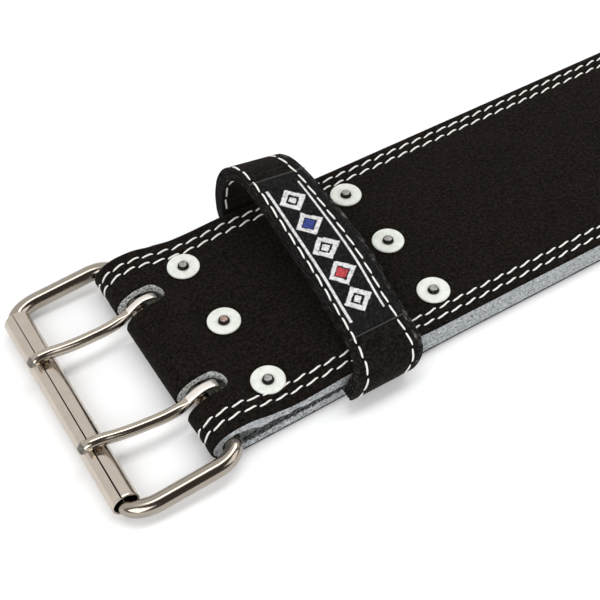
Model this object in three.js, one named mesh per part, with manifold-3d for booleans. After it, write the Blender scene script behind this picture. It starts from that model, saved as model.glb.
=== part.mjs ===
// A thick leather weightlifting belt with a two-prong roller buckle, lying flat on a surface.
// Millimetres, +Z up, +X from the buckle to the tongue, +Y across the belt.
// While it is built, x = 0 is the axis of the buckle bar that is hidden in the fold of the belt.

import * as THREE from "three";
import { mergeVertices } from "three/addons/utils/BufferGeometryUtils.js";
import Module from "manifold-3d";

// Space between pieces
const layerGap = 0.3;
const runningGap = 0.3;

// Belt strip, folded round the buckle bar
const beltLength = 1060;
const beltWidth = 101.6;
const beltThickness = 13.2;
const facingThickness = 1.0;
const tongueRounding = 42;
const foldPlyThickness = 4.3;
const foldFrontThickness = 5.2;
const foldCrestOffset = 4.1;
const foldCrestLength = 3.5;
const foldBulge = 3.9;
const foldFlare = 1.5;

// Buckle frame, bent from round wire, and the bar's play in the fold
const wireDiameter = 7.2;
const barPlay = 0.4;
const frameLength = 46.1;
const frameWidth = 116.6;
const frameCornerRound = 6;
const frameBackReach = 10;
const frameFrontReach = 12;
const frameOffset = -0.35;

// Roller
const rollerDiameter = 11.6;
const rollerWall = 1.0;
const rollerLength = 104.4;
const rollerOffset = -0.5;

// Prongs, with a thinner root curled round the bar, and the slots that they pass through
const prongDiameter = 5;
const prongRootThickness = 3;
const prongRootWidth = 4.2;
const prongTipThickness = 3.6;
const prongOverhang = 6.5;
const curlLength = 11.2;
const curlOffset = 0.5;
const curlStartAngle = -100;
const slotSpacing = 54;
const slotWidth = 11;
const slotReach = 11.4;
const slotCentre = -1;
const prongs = [
  { name: "prong_far", side: 1, rootShift: 1.9, shaftShift: -3.6, tipShift: -4.5 },
  { name: "prong_near", side: -1, rootShift: 2.4, shaftShift: -2.0, tipShift: 1.0 },
];

// Rivets with washers, in two rows of three
const rivetDiameter = 4.4;
const rivetStandProud = 1.3;
const rivetHeadDiameter = 12;
const washerDiameter = 14.2;
const washerThickness = 0.9;
const rivetRows = [
  { name: "buckle_row", place: 25.4, pitch: 35.8, shift: -1.3 },
  { name: "tongue_row", place: 108, pitch: 33.7, shift: -0.3 },
];
const rivetColumns = [
  { name: "near", step: -1 },
  { name: "mid", step: 0 },
  { name: "far", step: 1 },
];

// Keeper, a stitched leather loop whose thin run is caught between the two plies
const keeperPlace = 55.6;
const keeperWidth = 27.5;
const keeperThickness = 6.4;
const keeperHiddenThickness = 1.2;
const keeperPlyLift = 1.2;
const keeperFarRoom = 3.1;
const keeperNearRoom = 1.0;
const keeperClimb = 17.2;
const keeperLean = 6.5;
const keeperTwist = 5;
const keeperEdgeBevel = 0.9;

// Woven label on the keeper
const labelThickness = 0.7;
const labelInset = 0.6;
const labelStart = -0.82;
const labelEnd = 0.73;

// Prong holes in the tongue
const holePairs = 8;
const holeSpacing = 25.4;
const holeDiameter = 8;
const holeFirstFromTip = 120;

// Fineness of the round shapes
const wireSides = 12;
const rollerSides = 28;
const roundSides = 20;
const holeSides = 14;
const foldSteps = 9;
const cornerSteps = 7;
const curlSteps = 12;
const rampSteps = 5;
const loopSteps = 72;

const wasm = await Module();
wasm.setup();

const wireRadius = wireDiameter / 2;
const plyThickness = beltThickness / 2;
const barHeight = foldPlyThickness + barPlay + wireRadius;
const foldFront = wireRadius + barPlay + foldFrontThickness;
const foldTop = beltThickness + foldBulge;
const washerRadius = washerDiameter / 2;
const foldEnd = rivetRows[0].place - washerRadius + layerGap;
const keeperEnd = keeperPlace + keeperWidth;

// A closed mesh as a solid, ready for cutting and joining.
function solidOf(geometry) {
  const bare = geometry.clone();
  for (const name of Object.keys(bare.attributes)) {
    if (name !== "position") bare.deleteAttribute(name);
  }
  const merged = mergeVertices(bare, 1e-4);
  const triangles = new Uint32Array(merged.index.array);
  const corners = merged.attributes.position.array;
  return new wasm.Manifold(
    new wasm.Mesh({ numProp: 3, vertProperties: corners, triVerts: triangles }),
  );
}

function geometryOf(solid) {
  const mesh = solid.getMesh();
  const geometry = new THREE.BufferGeometry();
  geometry.setAttribute("position", new THREE.BufferAttribute(new Float32Array(mesh.vertProperties), 3));
  geometry.setIndex(new THREE.BufferAttribute(new Uint32Array(mesh.triVerts), 1));
  geometry.computeVertexNormals();
  return geometry;
}

// A skin through rings of points, closed into a loop or capped at both ends. Each ring runs
// clockwise, seen looking back along the line.
function loft(rings, closed) {
  const sides = rings[0].length;
  const corners = rings.flat().flatMap((p) => [p.x, p.y, p.z]);
  const faces = [];
  const spans = closed ? rings.length : rings.length - 1;
  for (let i = 0; i < spans; i++) {
    const here = i * sides;
    const next = ((i + 1) % rings.length) * sides;
    for (let k = 0; k < sides; k++) {
      const turn = (k + 1) % sides;
      faces.push(here + k, next + turn, here + turn);
      faces.push(here + k, next + k, next + turn);
    }
  }
  if (!closed) {
    const last = (rings.length - 1) * sides;
    for (let k = 1; k < sides - 1; k++) {
      faces.push(0, k, k + 1);
      faces.push(last, last + k + 1, last + k);
    }
  }
  const geometry = new THREE.BufferGeometry();
  geometry.setAttribute("position", new THREE.Float32BufferAttribute(corners, 3));
  geometry.setIndex(faces);
  geometry.computeVertexNormals();
  return geometry;
}

// A flat outline in X and Y, pushed from one height to another.
function upright(outline, low, high) {
  const geometry = new THREE.ExtrudeGeometry(new THREE.Shape(outline), {
    depth: high - low,
    bevelEnabled: false,
  });
  return geometry.translate(0, 0, low);
}

function discAt(x, y, radius, low, high, sides) {
  const geometry = new THREE.CylinderGeometry(radius, radius, high - low, sides);
  geometry.rotateX(Math.PI / 2);
  return geometry.translate(x, y, (low + high) / 2);
}

// Runs from 0 to 1 with a level start and end.
function ease(share) {
  const t = THREE.MathUtils.clamp(share, 0, 1);
  return (1 - Math.cos(Math.PI * t)) / 2;
}

// Height of the belt's upper face at x, behind the crest of the fold.
function topHeight(x) {
  const crestEnd = foldCrestOffset + foldCrestLength;
  const fall = foldBulge * (1 - ease((x - crestEnd) / (foldEnd - crestEnd)));
  const before = (x - (foldEnd + 2 * washerRadius)) / (keeperPlace - foldEnd - 2 * washerRadius);
  const behindEnd = rivetRows[1].place - washerRadius - layerGap;
  const behind = (behindEnd - x) / (behindEnd - keeperEnd);
  const lift = keeperPlyLift * Math.min(ease(before), ease(behind));
  return beltThickness + fall + lift;
}

// The belt's half width at x: the folded end is pressed a little wider than the rest.
function halfWidth(x) {
  return beltWidth / 2 + foldFlare * (1 - ease((x - foldFront) / rivetRows[1].place));
}

// The upper face from the crest of the fold to the tongue, as stations along x.
function topStations() {
  const stations = [];
  const crestEnd = foldCrestOffset + foldCrestLength;
  const stretches = [
    [foldCrestOffset, crestEnd, 1],
    [crestEnd, foldEnd, foldSteps],
    [foldEnd, foldEnd + 2 * washerRadius, 1],
    [foldEnd + 2 * washerRadius, keeperPlace, rampSteps],
    [keeperPlace, keeperEnd, 2],
    [keeperEnd, rivetRows[1].place - washerRadius - layerGap, rampSteps],
    [rivetRows[1].place - washerRadius - layerGap, rivetRows[1].place + 2 * washerRadius, 1],
    [rivetRows[1].place + 2 * washerRadius, beltLength, 1],
  ];
  for (const [from, to, steps] of stretches) {
    for (let i = 0; i < steps; i++) stations.push(from + ((to - from) * i) / steps);
  }
  stations.push(beltLength);
  return stations.map((x) => new THREE.Vector2(x, topHeight(x)));
}

// The outer line of the folded strip in X and Z: from the tongue along the underside, round the
// fold and back along the upper face.
function foldedLine() {
  const line = [new THREE.Vector2(beltLength, 0)];
  line.push(new THREE.Vector2(rivetRows[1].place, 0));
  line.push(new THREE.Vector2(rivetRows[0].place, 0));
  const lower = foldFront + foldCrestOffset / 2;
  for (let i = 0; i < foldSteps; i++) {
    const a = ((i / foldSteps) * Math.PI) / 2;
    line.push(new THREE.Vector2(lower - foldFront - lower * Math.sin(a), barHeight * (1 - Math.cos(a))));
  }
  const upper = foldFront + foldCrestOffset;
  for (let i = 0; i < foldSteps; i++) {
    const a = ((i / foldSteps) * Math.PI) / 2;
    const rise = (foldTop - barHeight) * Math.sin(a);
    line.push(new THREE.Vector2(foldCrestOffset - upper * Math.cos(a), barHeight + rise));
  }
  return line.concat(topStations());
}

// The same line moved inwards, to the left of its direction seen with X to the right and Z up.
function inset(line, depth) {
  return line.map((point, i) => {
    const before = line[Math.max(i - 1, 0)];
    const after = line[Math.min(i + 1, line.length - 1)];
    const along = after.clone().sub(before).normalize();
    return new THREE.Vector2(point.x + along.y * depth, point.y - along.x * depth);
  });
}

// The tunnel that the buckle bar lies in: wide at the fold, closed where the rivets pinch the plies.
function tunnelLine() {
  const room = wireRadius + barPlay;
  const line = [];
  for (let i = 0; i <= 2 * foldSteps; i++) {
    const a = -Math.PI / 2 - (Math.PI * i) / (2 * foldSteps);
    line.push(new THREE.Vector2(room * Math.cos(a), barHeight + room * Math.sin(a)));
  }
  const below = [];
  for (let i = 1; i <= foldSteps; i++) {
    const x = (foldEnd * i) / foldSteps;
    const ply = THREE.MathUtils.lerp(foldPlyThickness, plyThickness, ease(i / foldSteps));
    line.push(new THREE.Vector2(x, topHeight(x) - ply));
    if (i < foldSteps) below.push(new THREE.Vector2(x, ply));
  }
  return line.concat(below.reverse());
}

// The flat channel between the plies that holds the keeper's hidden run.
function channelLine() {
  const half = keeperHiddenThickness / 2 + layerGap;
  const from = keeperPlace - layerGap;
  const to = keeperEnd + layerGap;
  return [
    new THREE.Vector2(from, plyThickness - half),
    new THREE.Vector2(to, plyThickness - half),
    new THREE.Vector2(to, plyThickness + half),
    new THREE.Vector2(from, plyThickness + half),
  ];
}

// A profile in X and Z as wide as the belt, with the flare of the folded end.
function acrossBelt(outline, holes) {
  const shape = new THREE.Shape(outline);
  for (const hole of holes) shape.holes.push(new THREE.Path(hole));
  const geometry = new THREE.ExtrudeGeometry(shape, { depth: 2, bevelEnabled: false });
  geometry.rotateX(Math.PI / 2);
  geometry.translate(0, 1, 0);
  const position = geometry.attributes.position;
  for (let i = 0; i < position.count; i++) {
    position.setY(i, Math.sign(position.getY(i)) * halfWidth(position.getX(i)));
  }
  return geometry;
}

function slotY(side) {
  return slotCentre + (side * slotSpacing) / 2;
}

// What is cut away outside the round end of the tongue.
function tongueWaste() {
  const start = beltLength - tongueRounding;
  const outline = [];
  for (let i = 0; i <= roundSides; i++) {
    const a = Math.PI / 2 - (Math.PI * i) / roundSides;
    const x = start + tongueRounding * Math.cos(a);
    outline.push(new THREE.Vector2(x, (beltWidth / 2) * Math.sin(a)));
  }
  outline.push(new THREE.Vector2(start, -beltWidth));
  outline.push(new THREE.Vector2(beltLength + tongueRounding, -beltWidth));
  outline.push(new THREE.Vector2(beltLength + tongueRounding, beltWidth));
  outline.push(new THREE.Vector2(start, beltWidth));
  return upright(outline.reverse(), -beltThickness, 2 * foldTop);
}

// The slot of one prong, open over the front of the fold and round at its other end.
function slotWaste(side) {
  const y = slotY(side);
  const radius = slotWidth / 2;
  const outline = [new THREE.Vector2(-2 * foldFront, y - radius)];
  for (let i = 0; i <= holeSides / 2; i++) {
    const a = -Math.PI / 2 + (Math.PI * i) / (holeSides / 2);
    const x = slotReach - radius + radius * Math.cos(a);
    outline.push(new THREE.Vector2(x, y + radius * Math.sin(a)));
  }
  outline.push(new THREE.Vector2(-2 * foldFront, y + radius));
  return upright(outline, -beltThickness, 2 * foldTop);
}

function holePlaces() {
  const places = [];
  for (let i = 0; i < holePairs; i++) {
    for (const side of [-1, 1]) {
      places.push({ x: beltLength - holeFirstFromTip - i * holeSpacing, y: slotY(side) });
    }
  }
  return places;
}

function rivetPlaces() {
  return rivetRows.flatMap((row) =>
    rivetColumns.map((column) => ({
      name: row.name + "_" + column.name,
      x: row.place,
      y: row.shift + column.step * row.pitch,
    })),
  );
}

// Cuts that go through every layer of the belt.
function beltCuts() {
  const cuts = [tongueWaste(), slotWaste(1), slotWaste(-1)];
  const low = -beltThickness;
  const high = 2 * foldTop;
  for (const hole of holePlaces()) {
    cuts.push(discAt(hole.x, hole.y, holeDiameter / 2, low, high, holeSides));
  }
  for (const rivet of rivetPlaces()) {
    cuts.push(discAt(rivet.x, rivet.y, rivetDiameter / 2 + layerGap, low, high, holeSides));
  }
  return cuts;
}

function cutAll(geometry, cuts) {
  return geometryOf(cuts.reduce((solid, cut) => solid.subtract(solidOf(cut)), solidOf(geometry)));
}

function leatherCore() {
  const outline = inset(foldedLine(), facingThickness + layerGap);
  return cutAll(acrossBelt(outline.reverse(), [tunnelLine(), channelLine()]), beltCuts());
}

// The black suede skin on both faces of the belt and round the fold.
function suedeFacing() {
  const outer = foldedLine();
  const inner = inset(outer, facingThickness);
  const cuts = beltCuts();
  const headRoom = rivetHeadDiameter / 2 + layerGap;
  for (const rivet of rivetPlaces()) {
    cuts.push(discAt(rivet.x, rivet.y, headRoom, -beltThickness, plyThickness, roundSides));
  }
  return cutAll(acrossBelt(inner.concat(outer.reverse()), []), cuts);
}

// Head under the belt, shank through it and a domed end above the washer.
function rivet(place) {
  const shank = rivetDiameter / 2;
  const washerTop = topHeight(place.x) + layerGap + washerThickness;
  const end = washerTop + rivetStandProud;
  const profile = [
    [0, 0],
    [rivetHeadDiameter / 2, 0],
    [rivetHeadDiameter / 2, facingThickness],
    [shank, facingThickness],
    [shank, end - rivetStandProud / 2],
    [shank * 0.75, end - rivetStandProud * 0.1],
    [0, end],
  ];
  const geometry = new THREE.LatheGeometry(
    profile.map(([r, z]) => new THREE.Vector2(r, z)),
    roundSides,
  );
  geometry.rotateX(Math.PI / 2);
  return geometryOf(solidOf(geometry));
}

// A flat ring with its hole round the rivet.
function washer() {
  const hole = rivetDiameter / 2 + layerGap;
  const profile = [
    [hole, 0],
    [washerRadius, 0],
    [washerRadius, washerThickness * 0.7],
    [washerRadius - washerThickness * 0.3, washerThickness],
    [hole, washerThickness],
    [hole, 0],
  ];
  const geometry = new THREE.LatheGeometry(
    profile.map(([r, z]) => new THREE.Vector2(r, z)),
    roundSides,
  );
  geometry.rotateX(Math.PI / 2);
  return geometryOf(solidOf(geometry));
}

// The frame's centre line in its own plane: the hidden bar on x = 0, the roller's bar at the front.
function frameLine() {
  const half = frameWidth / 2;
  const corners = [
    { x: -frameBackReach, side: 1, reach: frameBackReach, from: 0 },
    { x: frameFrontReach - frameLength, side: 1, reach: frameFrontReach, from: 90 },
    { x: frameFrontReach - frameLength, side: -1, reach: frameFrontReach, from: 180 },
    { x: -frameBackReach, side: -1, reach: frameBackReach, from: 270 },
  ];
  const line = [];
  for (const corner of corners) {
    for (let i = 0; i <= cornerSteps; i++) {
      const a = THREE.MathUtils.degToRad(corner.from + (90 * i) / cornerSteps);
      const x = corner.x + corner.reach * Math.cos(a);
      const y = corner.side * (half - frameCornerRound) + frameCornerRound * Math.sin(a);
      line.push(new THREE.Vector3(x, y, 0));
    }
  }
  return line;
}

function buckleFrame() {
  const line = frameLine();
  const rings = line.map((point, i) => {
    const before = line[(i + line.length - 1) % line.length];
    const after = line[(i + 1) % line.length];
    const along = after.clone().sub(before).normalize();
    const outward = new THREE.Vector3(along.y, -along.x, 0);
    const ring = [];
    for (let k = 0; k < wireSides; k++) {
      const a = (2 * Math.PI * (k + 0.5)) / wireSides;
      const corner = point.clone().addScaledVector(outward, wireRadius * Math.cos(a));
      corner.z += wireRadius * Math.sin(a);
      ring.push(corner);
    }
    return ring;
  });
  return loft(rings, true);
}

const rollerRadius = rollerDiameter / 2;
const rollerBore = rollerRadius - rollerWall;
// The roller hangs round its bar, so the bar lies low in the bore.
const barLowInBore = rollerBore * Math.cos(Math.PI / rollerSides) - runningGap - wireRadius;
const frontBarHeight = rollerRadius - barLowInBore;
const frameTilt = Math.asin((barHeight - frontBarHeight) / frameLength);
const frontBarX = -frameLength * Math.cos(frameTilt);

function roller() {
  const profile = [
    [rollerBore, -rollerLength / 2],
    [rollerRadius, -rollerLength / 2],
    [rollerRadius, rollerLength / 2],
    [rollerBore, rollerLength / 2],
    [rollerBore, -rollerLength / 2],
  ];
  const tube = new THREE.LatheGeometry(
    profile.map(([r, y]) => new THREE.Vector2(r, y)),
    rollerSides,
  );
  return geometryOf(solidOf(tube));
}

// The prong's line from its curl to its tip. along is a share of the way from the bar to the tip,
// rise is a share of the height at which it lies on the roller, bend and run are shares of its
// sideways steps from the root to the shaft and from the shaft to the tip, and full is how far its
// section has grown from the root's to the shaft's.
const prongRows = [
  { along: 0.07, rise: 0.8, bend: 0.35, run: 0, full: 0.15 },
  { along: 0.126, rise: 0.72, bend: 0.6, run: 0, full: 0.6 },
  { along: 0.187, rise: 0.665, bend: 0.8, run: 0, full: 0.9 },
  { along: 0.305, rise: 0.62, bend: 1, run: 0.12, full: 1 },
  { along: 0.477, rise: 0.6, bend: 1, run: 0.35, full: 1 },
  { along: 0.63, rise: 0.67, bend: 1, run: 0.55, full: 1 },
  { along: 0.744, rise: 0.82, bend: 1, run: 0.7, full: 1 },
  { along: 0.82, rise: 0.95, bend: 1, run: 0.8, full: 1 },
  { along: 0.878, rise: 1, bend: 1, run: 0.87, full: 1 },
  { along: 0.93, rise: 0.97, bend: 1, run: 0.93, full: 1 },
];

// One prong's sections from the end of its curl, round the bar and out over the roller, with x
// and z measured from the bar's axis.
function prongSections(rootY, shaftY, tipY) {
  const clear = wireRadius + runningGap + prongRootThickness / 2;
  const restHeight = rollerDiameter + runningGap + prongDiameter / 2 - barHeight;
  const tipX = frontBarX - prongOverhang;
  const sections = [];
  for (let i = 0; i <= curlSteps; i++) {
    const degrees = curlStartAngle + ((90 - curlStartAngle) * i) / curlSteps;
    const a = THREE.MathUtils.degToRad(degrees);
    sections.push({
      x: curlOffset + (curlLength / 2) * Math.cos(a),
      z: clear * Math.sin(a),
      y: rootY,
      width: prongRootWidth,
      thickness: prongRootThickness,
    });
  }
  for (const row of prongRows) {
    sections.push({
      x: tipX * row.along,
      z: restHeight * row.rise,
      y: rootY + (shaftY - rootY) * row.bend + (tipY - shaftY) * row.run,
      width: THREE.MathUtils.lerp(prongRootWidth, prongDiameter, row.full),
      thickness: THREE.MathUtils.lerp(prongRootThickness, prongDiameter, row.full),
    });
  }
  sections.push({
    x: tipX,
    z: restHeight - (prongDiameter - prongTipThickness) / 2,
    y: tipY,
    width: prongDiameter,
    thickness: prongTipThickness,
  });
  return sections;
}

function prong(rootY, shaftY, tipY) {
  const sections = prongSections(rootY, shaftY, tipY);
  const rings = sections.map((section, i) => {
    const before = sections[Math.max(i - 1, 0)];
    const after = sections[Math.min(i + 1, sections.length - 1)];
    const along = new THREE.Vector2(after.x - before.x, after.z - before.z).normalize();
    const ring = [];
    for (let k = 0; k < wireSides; k++) {
      const a = (2 * Math.PI * (k + 0.5)) / wireSides;
      const out = (section.thickness / 2) * Math.sin(a);
      const x = section.x + along.y * out;
      const z = section.z - along.x * out;
      ring.push(new THREE.Vector3(x, section.y + (section.width / 2) * Math.cos(a), z));
    }
    return ring;
  });
  return loft(rings, false);
}

// The keeper's centre line. side is a share of the half span between its walls, up runs from the
// split between the plies to where the strap lies on the belt, climb is a share of the arch's
// height above that, and lean, drop and thick are shares of the lean, the twist and the thickness.
const keeperRows = [
  { side: -0.5, up: 0, climb: 0, lean: 0, drop: 0, thick: 0 },
  { side: -0.88, up: 0, climb: 0, lean: 0, drop: 0, thick: 0 },
  { side: -0.93, up: 0, climb: 0, lean: 0, drop: 0, thick: 0 },
  { side: -0.953, up: -0.13, climb: 0, lean: 0, drop: 0, thick: 0.12 },
  { side: -0.978, up: -0.2, climb: 0, lean: 0.02, drop: 0, thick: 0.28 },
  { side: -1.003, up: -0.08, climb: 0, lean: 0.06, drop: 0, thick: 0.5 },
  { side: -1.01, up: 0.2, climb: 0, lean: 0.12, drop: 0, thick: 0.78 },
  { side: -1.005, up: 0.5, climb: 0, lean: 0.2, drop: 0, thick: 0.96 },
  { side: -0.998, up: 0.72, climb: 0, lean: 0.3, drop: 0, thick: 1 },
  { side: -0.98, up: 0.88, climb: 0, lean: 0.38, drop: 0, thick: 1 },
  { side: -0.945, up: 0.985, climb: 0, lean: 0.46, drop: 0, thick: 1 },
  { side: -0.88, up: 1.02, climb: 0, lean: 0.55, drop: 0, thick: 1 },
  { side: -0.8, up: 1.01, climb: 0.012, lean: 0.63, drop: 0, thick: 1 },
  { side: -0.68, up: 1, climb: 0.055, lean: 0.72, drop: 0, thick: 1 },
  { side: -0.5, up: 1, climb: 0.14, lean: 0.82, drop: 0, thick: 1 },
  { side: -0.2, up: 1, climb: 0.36, lean: 0.95, drop: 0, thick: 1 },
  { side: 0.17, up: 1, climb: 0.61, lean: 1, drop: 0.12, thick: 1 },
  { side: 0.5, up: 1, climb: 0.86, lean: 1, drop: 0.5, thick: 1 },
  { side: 0.71, up: 1, climb: 0.98, lean: 0.95, drop: 0.85, thick: 1 },
  { side: 0.84, up: 1, climb: 0.99, lean: 0.8, drop: 1, thick: 1 },
  { side: 0.94, up: 1, climb: 0.85, lean: 0.5, drop: 1, thick: 1 },
  { side: 0.985, up: 1, climb: 0.55, lean: 0.22, drop: 0.85, thick: 1 },
  { side: 1.0, up: 1, climb: 0.1, lean: 0.04, drop: 0.45, thick: 1 },
  { side: 0.995, up: 0.5, climb: 0, lean: 0, drop: 0.1, thick: 0.96 },
  { side: 0.985, up: 0.18, climb: 0, lean: 0, drop: 0, thick: 0.78 },
  { side: 0.965, up: -0.06, climb: 0, lean: 0, drop: 0, thick: 0.5 },
  { side: 0.93, up: -0.14, climb: 0, lean: 0, drop: 0, thick: 0.25 },
  { side: 0.903, up: 0, climb: 0, lean: 0, drop: 0, thick: 0 },
  { side: 0.86, up: 0, climb: 0, lean: 0, drop: 0, thick: 0 },
  { side: 0.5, up: 0, climb: 0, lean: 0, drop: 0, thick: 0 },
];

// The strap's place, tilt and thickness at each step round the loop.
function keeperStations() {
  const middle = (keeperPlace + keeperEnd) / 2;
  const wall = halfWidth(middle) + keeperThickness / 2;
  const farSpan = wall + keeperFarRoom;
  const nearSpan = wall + keeperNearRoom;
  const lying = topHeight(middle) + layerGap + keeperThickness / 2;
  const places = keeperRows.map((row) => {
    const y = row.side * (row.side > 0 ? farSpan : nearSpan);
    const z = plyThickness + row.up * (lying - plyThickness) + row.climb * keeperClimb;
    return new THREE.Vector3(middle + row.lean * keeperLean, y, z);
  });
  const forms = keeperRows.map((row) => new THREE.Vector3(row.thick, row.drop, row.side));
  const route = new THREE.CatmullRomCurve3(places, true, "catmullrom", 0.5);
  const form = new THREE.CatmullRomCurve3(forms, true, "catmullrom", 0.5);
  const stations = [];
  for (let i = 0; i < loopSteps; i++) {
    const at = i / loopSteps;
    const shares = form.getPoint(at);
    const along = route.getPoint((at + 1e-3) % 1).sub(route.getPoint((at + 1 - 1e-3) % 1));
    const outward = new THREE.Vector3(0, -along.z, along.y).normalize();
    const thick = THREE.MathUtils.clamp(shares.x, 0, 1);
    stations.push({
      centre: route.getPoint(at),
      outward,
      thickness: THREE.MathUtils.lerp(keeperHiddenThickness, keeperThickness, thick),
      drop: THREE.MathUtils.clamp(shares.y, 0, 1) * keeperTwist,
      side: shares.z,
    });
  }
  return stations;
}

// One flat strap section: its two faces lie low and high of the centre line along outward.
function strapRing(station, width, low, high, bevel) {
  const half = width / 2;
  const outline = [
    [-half, low + bevel],
    [-half + bevel, low],
    [0, low],
    [half - bevel, low],
    [half, low + bevel],
    [half, high - bevel],
    [half - bevel, high],
    [0, high],
    [-half + bevel, high],
    [-half, high - bevel],
  ];
  return outline.map(([across, out]) => {
    const corner = station.centre.clone().addScaledVector(station.outward, out);
    corner.x += across;
    corner.z -= station.drop * (across / keeperWidth + 0.5);
    return corner;
  });
}

function keeperLoop() {
  const rings = keeperStations().map((station) => {
    const half = station.thickness / 2;
    const bevel = Math.min(keeperEdgeBevel, half * 0.6);
    return strapRing(station, keeperWidth, -half, half, bevel);
  });
  return loft(rings, true);
}

// A thin patch on the outer face of the keeper's long run.
function keeperLabel() {
  const stations = keeperStations().filter(
    (s) => s.thickness > keeperThickness * 0.99 && s.side >= labelStart && s.side <= labelEnd,
  );
  const rings = stations.map((station) => {
    const low = station.thickness / 2 + layerGap;
    const width = keeperWidth - 2 * keeperEdgeBevel - 2 * labelInset;
    return strapRing(station, width, low, low + labelThickness, labelThickness / 4);
  });
  return loft(rings, false);
}

const materials = {
  suede: new THREE.MeshStandardMaterial({ color: 0x1b1715, roughness: 0.95, metalness: 0 }),
  core: new THREE.MeshStandardMaterial({ color: 0x9aa3a8, roughness: 0.9, metalness: 0 }),
  keeper: new THREE.MeshStandardMaterial({ color: 0x171413, roughness: 0.85, metalness: 0 }),
  label: new THREE.MeshStandardMaterial({ color: 0x101012, roughness: 0.7, metalness: 0 }),
  nickel: new THREE.MeshStandardMaterial({ color: 0xb9b0a4, roughness: 0.25, metalness: 1 }),
  washer: new THREE.MeshStandardMaterial({ color: 0xe6e3da, roughness: 0.45, metalness: 0 }),
  rivet: new THREE.MeshStandardMaterial({ color: 0x55524f, roughness: 0.4, metalness: 1 }),
};

function piece(name, geometry, material) {
  const mesh = new THREE.Mesh(geometry, material);
  mesh.name = name;
  return mesh;
}

const belt = new THREE.Group();
belt.add(piece("leather_core", leatherCore(), materials.core));
belt.add(piece("suede_facing", suedeFacing(), materials.suede));
belt.add(piece("keeper_loop", keeperLoop(), materials.keeper));
belt.add(piece("keeper_label", keeperLabel(), materials.label));

for (const place of rivetPlaces()) {
  const post = piece("rivet_" + place.name, rivet(place), materials.rivet);
  post.position.set(place.x, place.y, 0);
  belt.add(post);
  const ring = piece("washer_" + place.name, washer(), materials.washer);
  ring.position.set(place.x, place.y, topHeight(place.x) + layerGap);
  belt.add(ring);
}

const buckle = new THREE.Group();
buckle.position.set(0, 0, barHeight);
belt.add(buckle);
const frame = piece("buckle_frame", buckleFrame(), materials.nickel);
frame.position.y = frameOffset;
frame.rotation.y = -frameTilt;
buckle.add(frame);
const tube = piece("roller", roller(), materials.nickel);
tube.position.set(frontBarX, frameOffset + rollerOffset, rollerRadius - barHeight);
buckle.add(tube);
for (const row of prongs) {
  const y = slotY(row.side);
  const shape = prong(y + row.rootShift, y + row.shaftShift, y + row.tipShift);
  buckle.add(piece(row.name, shape, materials.nickel));
}

// The origin is under the middle of the whole belt, on the surface that it lies on.
const box = new THREE.Box3().setFromObject(belt);
const middle = box.getCenter(new THREE.Vector3());
belt.position.set(-middle.x, -middle.y, -box.min.z);

export default belt;
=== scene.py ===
"""Looks of the weightlifting belt: camera, light, materials and the detailed pieces.

Shapes are worked out in millimetres, with x = 0 on the axis of the buckle bar that is hidden in
the fold, as in the part's source, and are put into the row frame, in metres, at the end.
"""

import math

import bmesh
import bpy
import numpy as np
from mathutils import Matrix, Vector, noise


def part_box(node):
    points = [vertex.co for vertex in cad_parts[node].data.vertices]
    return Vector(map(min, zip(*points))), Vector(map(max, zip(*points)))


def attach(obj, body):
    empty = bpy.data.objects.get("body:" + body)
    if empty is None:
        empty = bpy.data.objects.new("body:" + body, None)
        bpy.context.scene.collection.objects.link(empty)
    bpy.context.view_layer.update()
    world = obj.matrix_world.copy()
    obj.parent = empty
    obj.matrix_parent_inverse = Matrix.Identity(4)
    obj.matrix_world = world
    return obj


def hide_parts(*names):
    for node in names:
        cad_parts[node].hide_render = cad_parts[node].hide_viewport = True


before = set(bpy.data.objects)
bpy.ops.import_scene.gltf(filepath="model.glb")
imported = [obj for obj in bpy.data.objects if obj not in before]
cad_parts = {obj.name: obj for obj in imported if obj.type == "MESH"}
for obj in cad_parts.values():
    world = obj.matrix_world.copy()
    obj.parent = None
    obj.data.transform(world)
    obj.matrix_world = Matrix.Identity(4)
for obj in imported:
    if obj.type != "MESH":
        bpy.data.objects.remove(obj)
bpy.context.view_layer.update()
scene = bpy.context.scene

# Sizes shared with the part's source
belt_length = 1060
belt_width = 101.6
belt_thickness = 13.2
facing_thickness = 1.0
tongue_rounding = 42
fold_ply_thickness = 4.3
fold_front_thickness = 5.2
fold_crest_offset = 4.1
fold_crest_length = 3.5
fold_bulge = 3.9
fold_flare = 1.5
wire_diameter = 7.2
bar_play = 0.4
frame_length = 46.1
frame_width = 116.6
frame_corner_round = 6
frame_back_reach = 10
frame_front_reach = 12
frame_offset = -0.35
roller_diameter = 11.6
roller_wall = 1.0
roller_length = 104.4
roller_offset = -0.5
roller_sides_in_part = 28
prong_diameter = 5
prong_overhang = 6.5
curl_length = 11.2
curl_offset = 0.5
curl_start_angle = -100
slot_spacing = 54
slot_width = 11
slot_reach = 11.4
slot_centre = -1
prongs = (
    {"name": "prong_far", "side": 1, "root": 1.9, "shaft": -3.6, "tip": -4.5},
    {"name": "prong_near", "side": -1, "root": 2.4, "shaft": -2.0, "tip": 1.0},
)
rivet_diameter = 4.4
rivet_stand_proud = 1.3
rivet_head_diameter = 12
washer_diameter = 14.2
washer_thickness = 0.9
rivet_rows = (
    {"name": "buckle_row", "place": 25.4, "pitch": 35.8, "shift": -1.3},
    {"name": "tongue_row", "place": 108, "pitch": 33.7, "shift": -0.3},
)
rivet_columns = (("near", -1), ("mid", 0), ("far", 1))
keeper_place = 55.6
keeper_width = 27.5
keeper_thickness = 6.4
keeper_hidden_thickness = 1.2
keeper_ply_lift = 1.2
keeper_far_room = 3.1
keeper_near_room = 1.0
keeper_climb = 17.2
keeper_lean = 6.5
keeper_twist = 5
hole_pairs = 8
hole_spacing = 25.4
hole_diameter = 8
hole_first_from_tip = 120
layer_gap = 0.3
running_gap = 0.3

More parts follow.
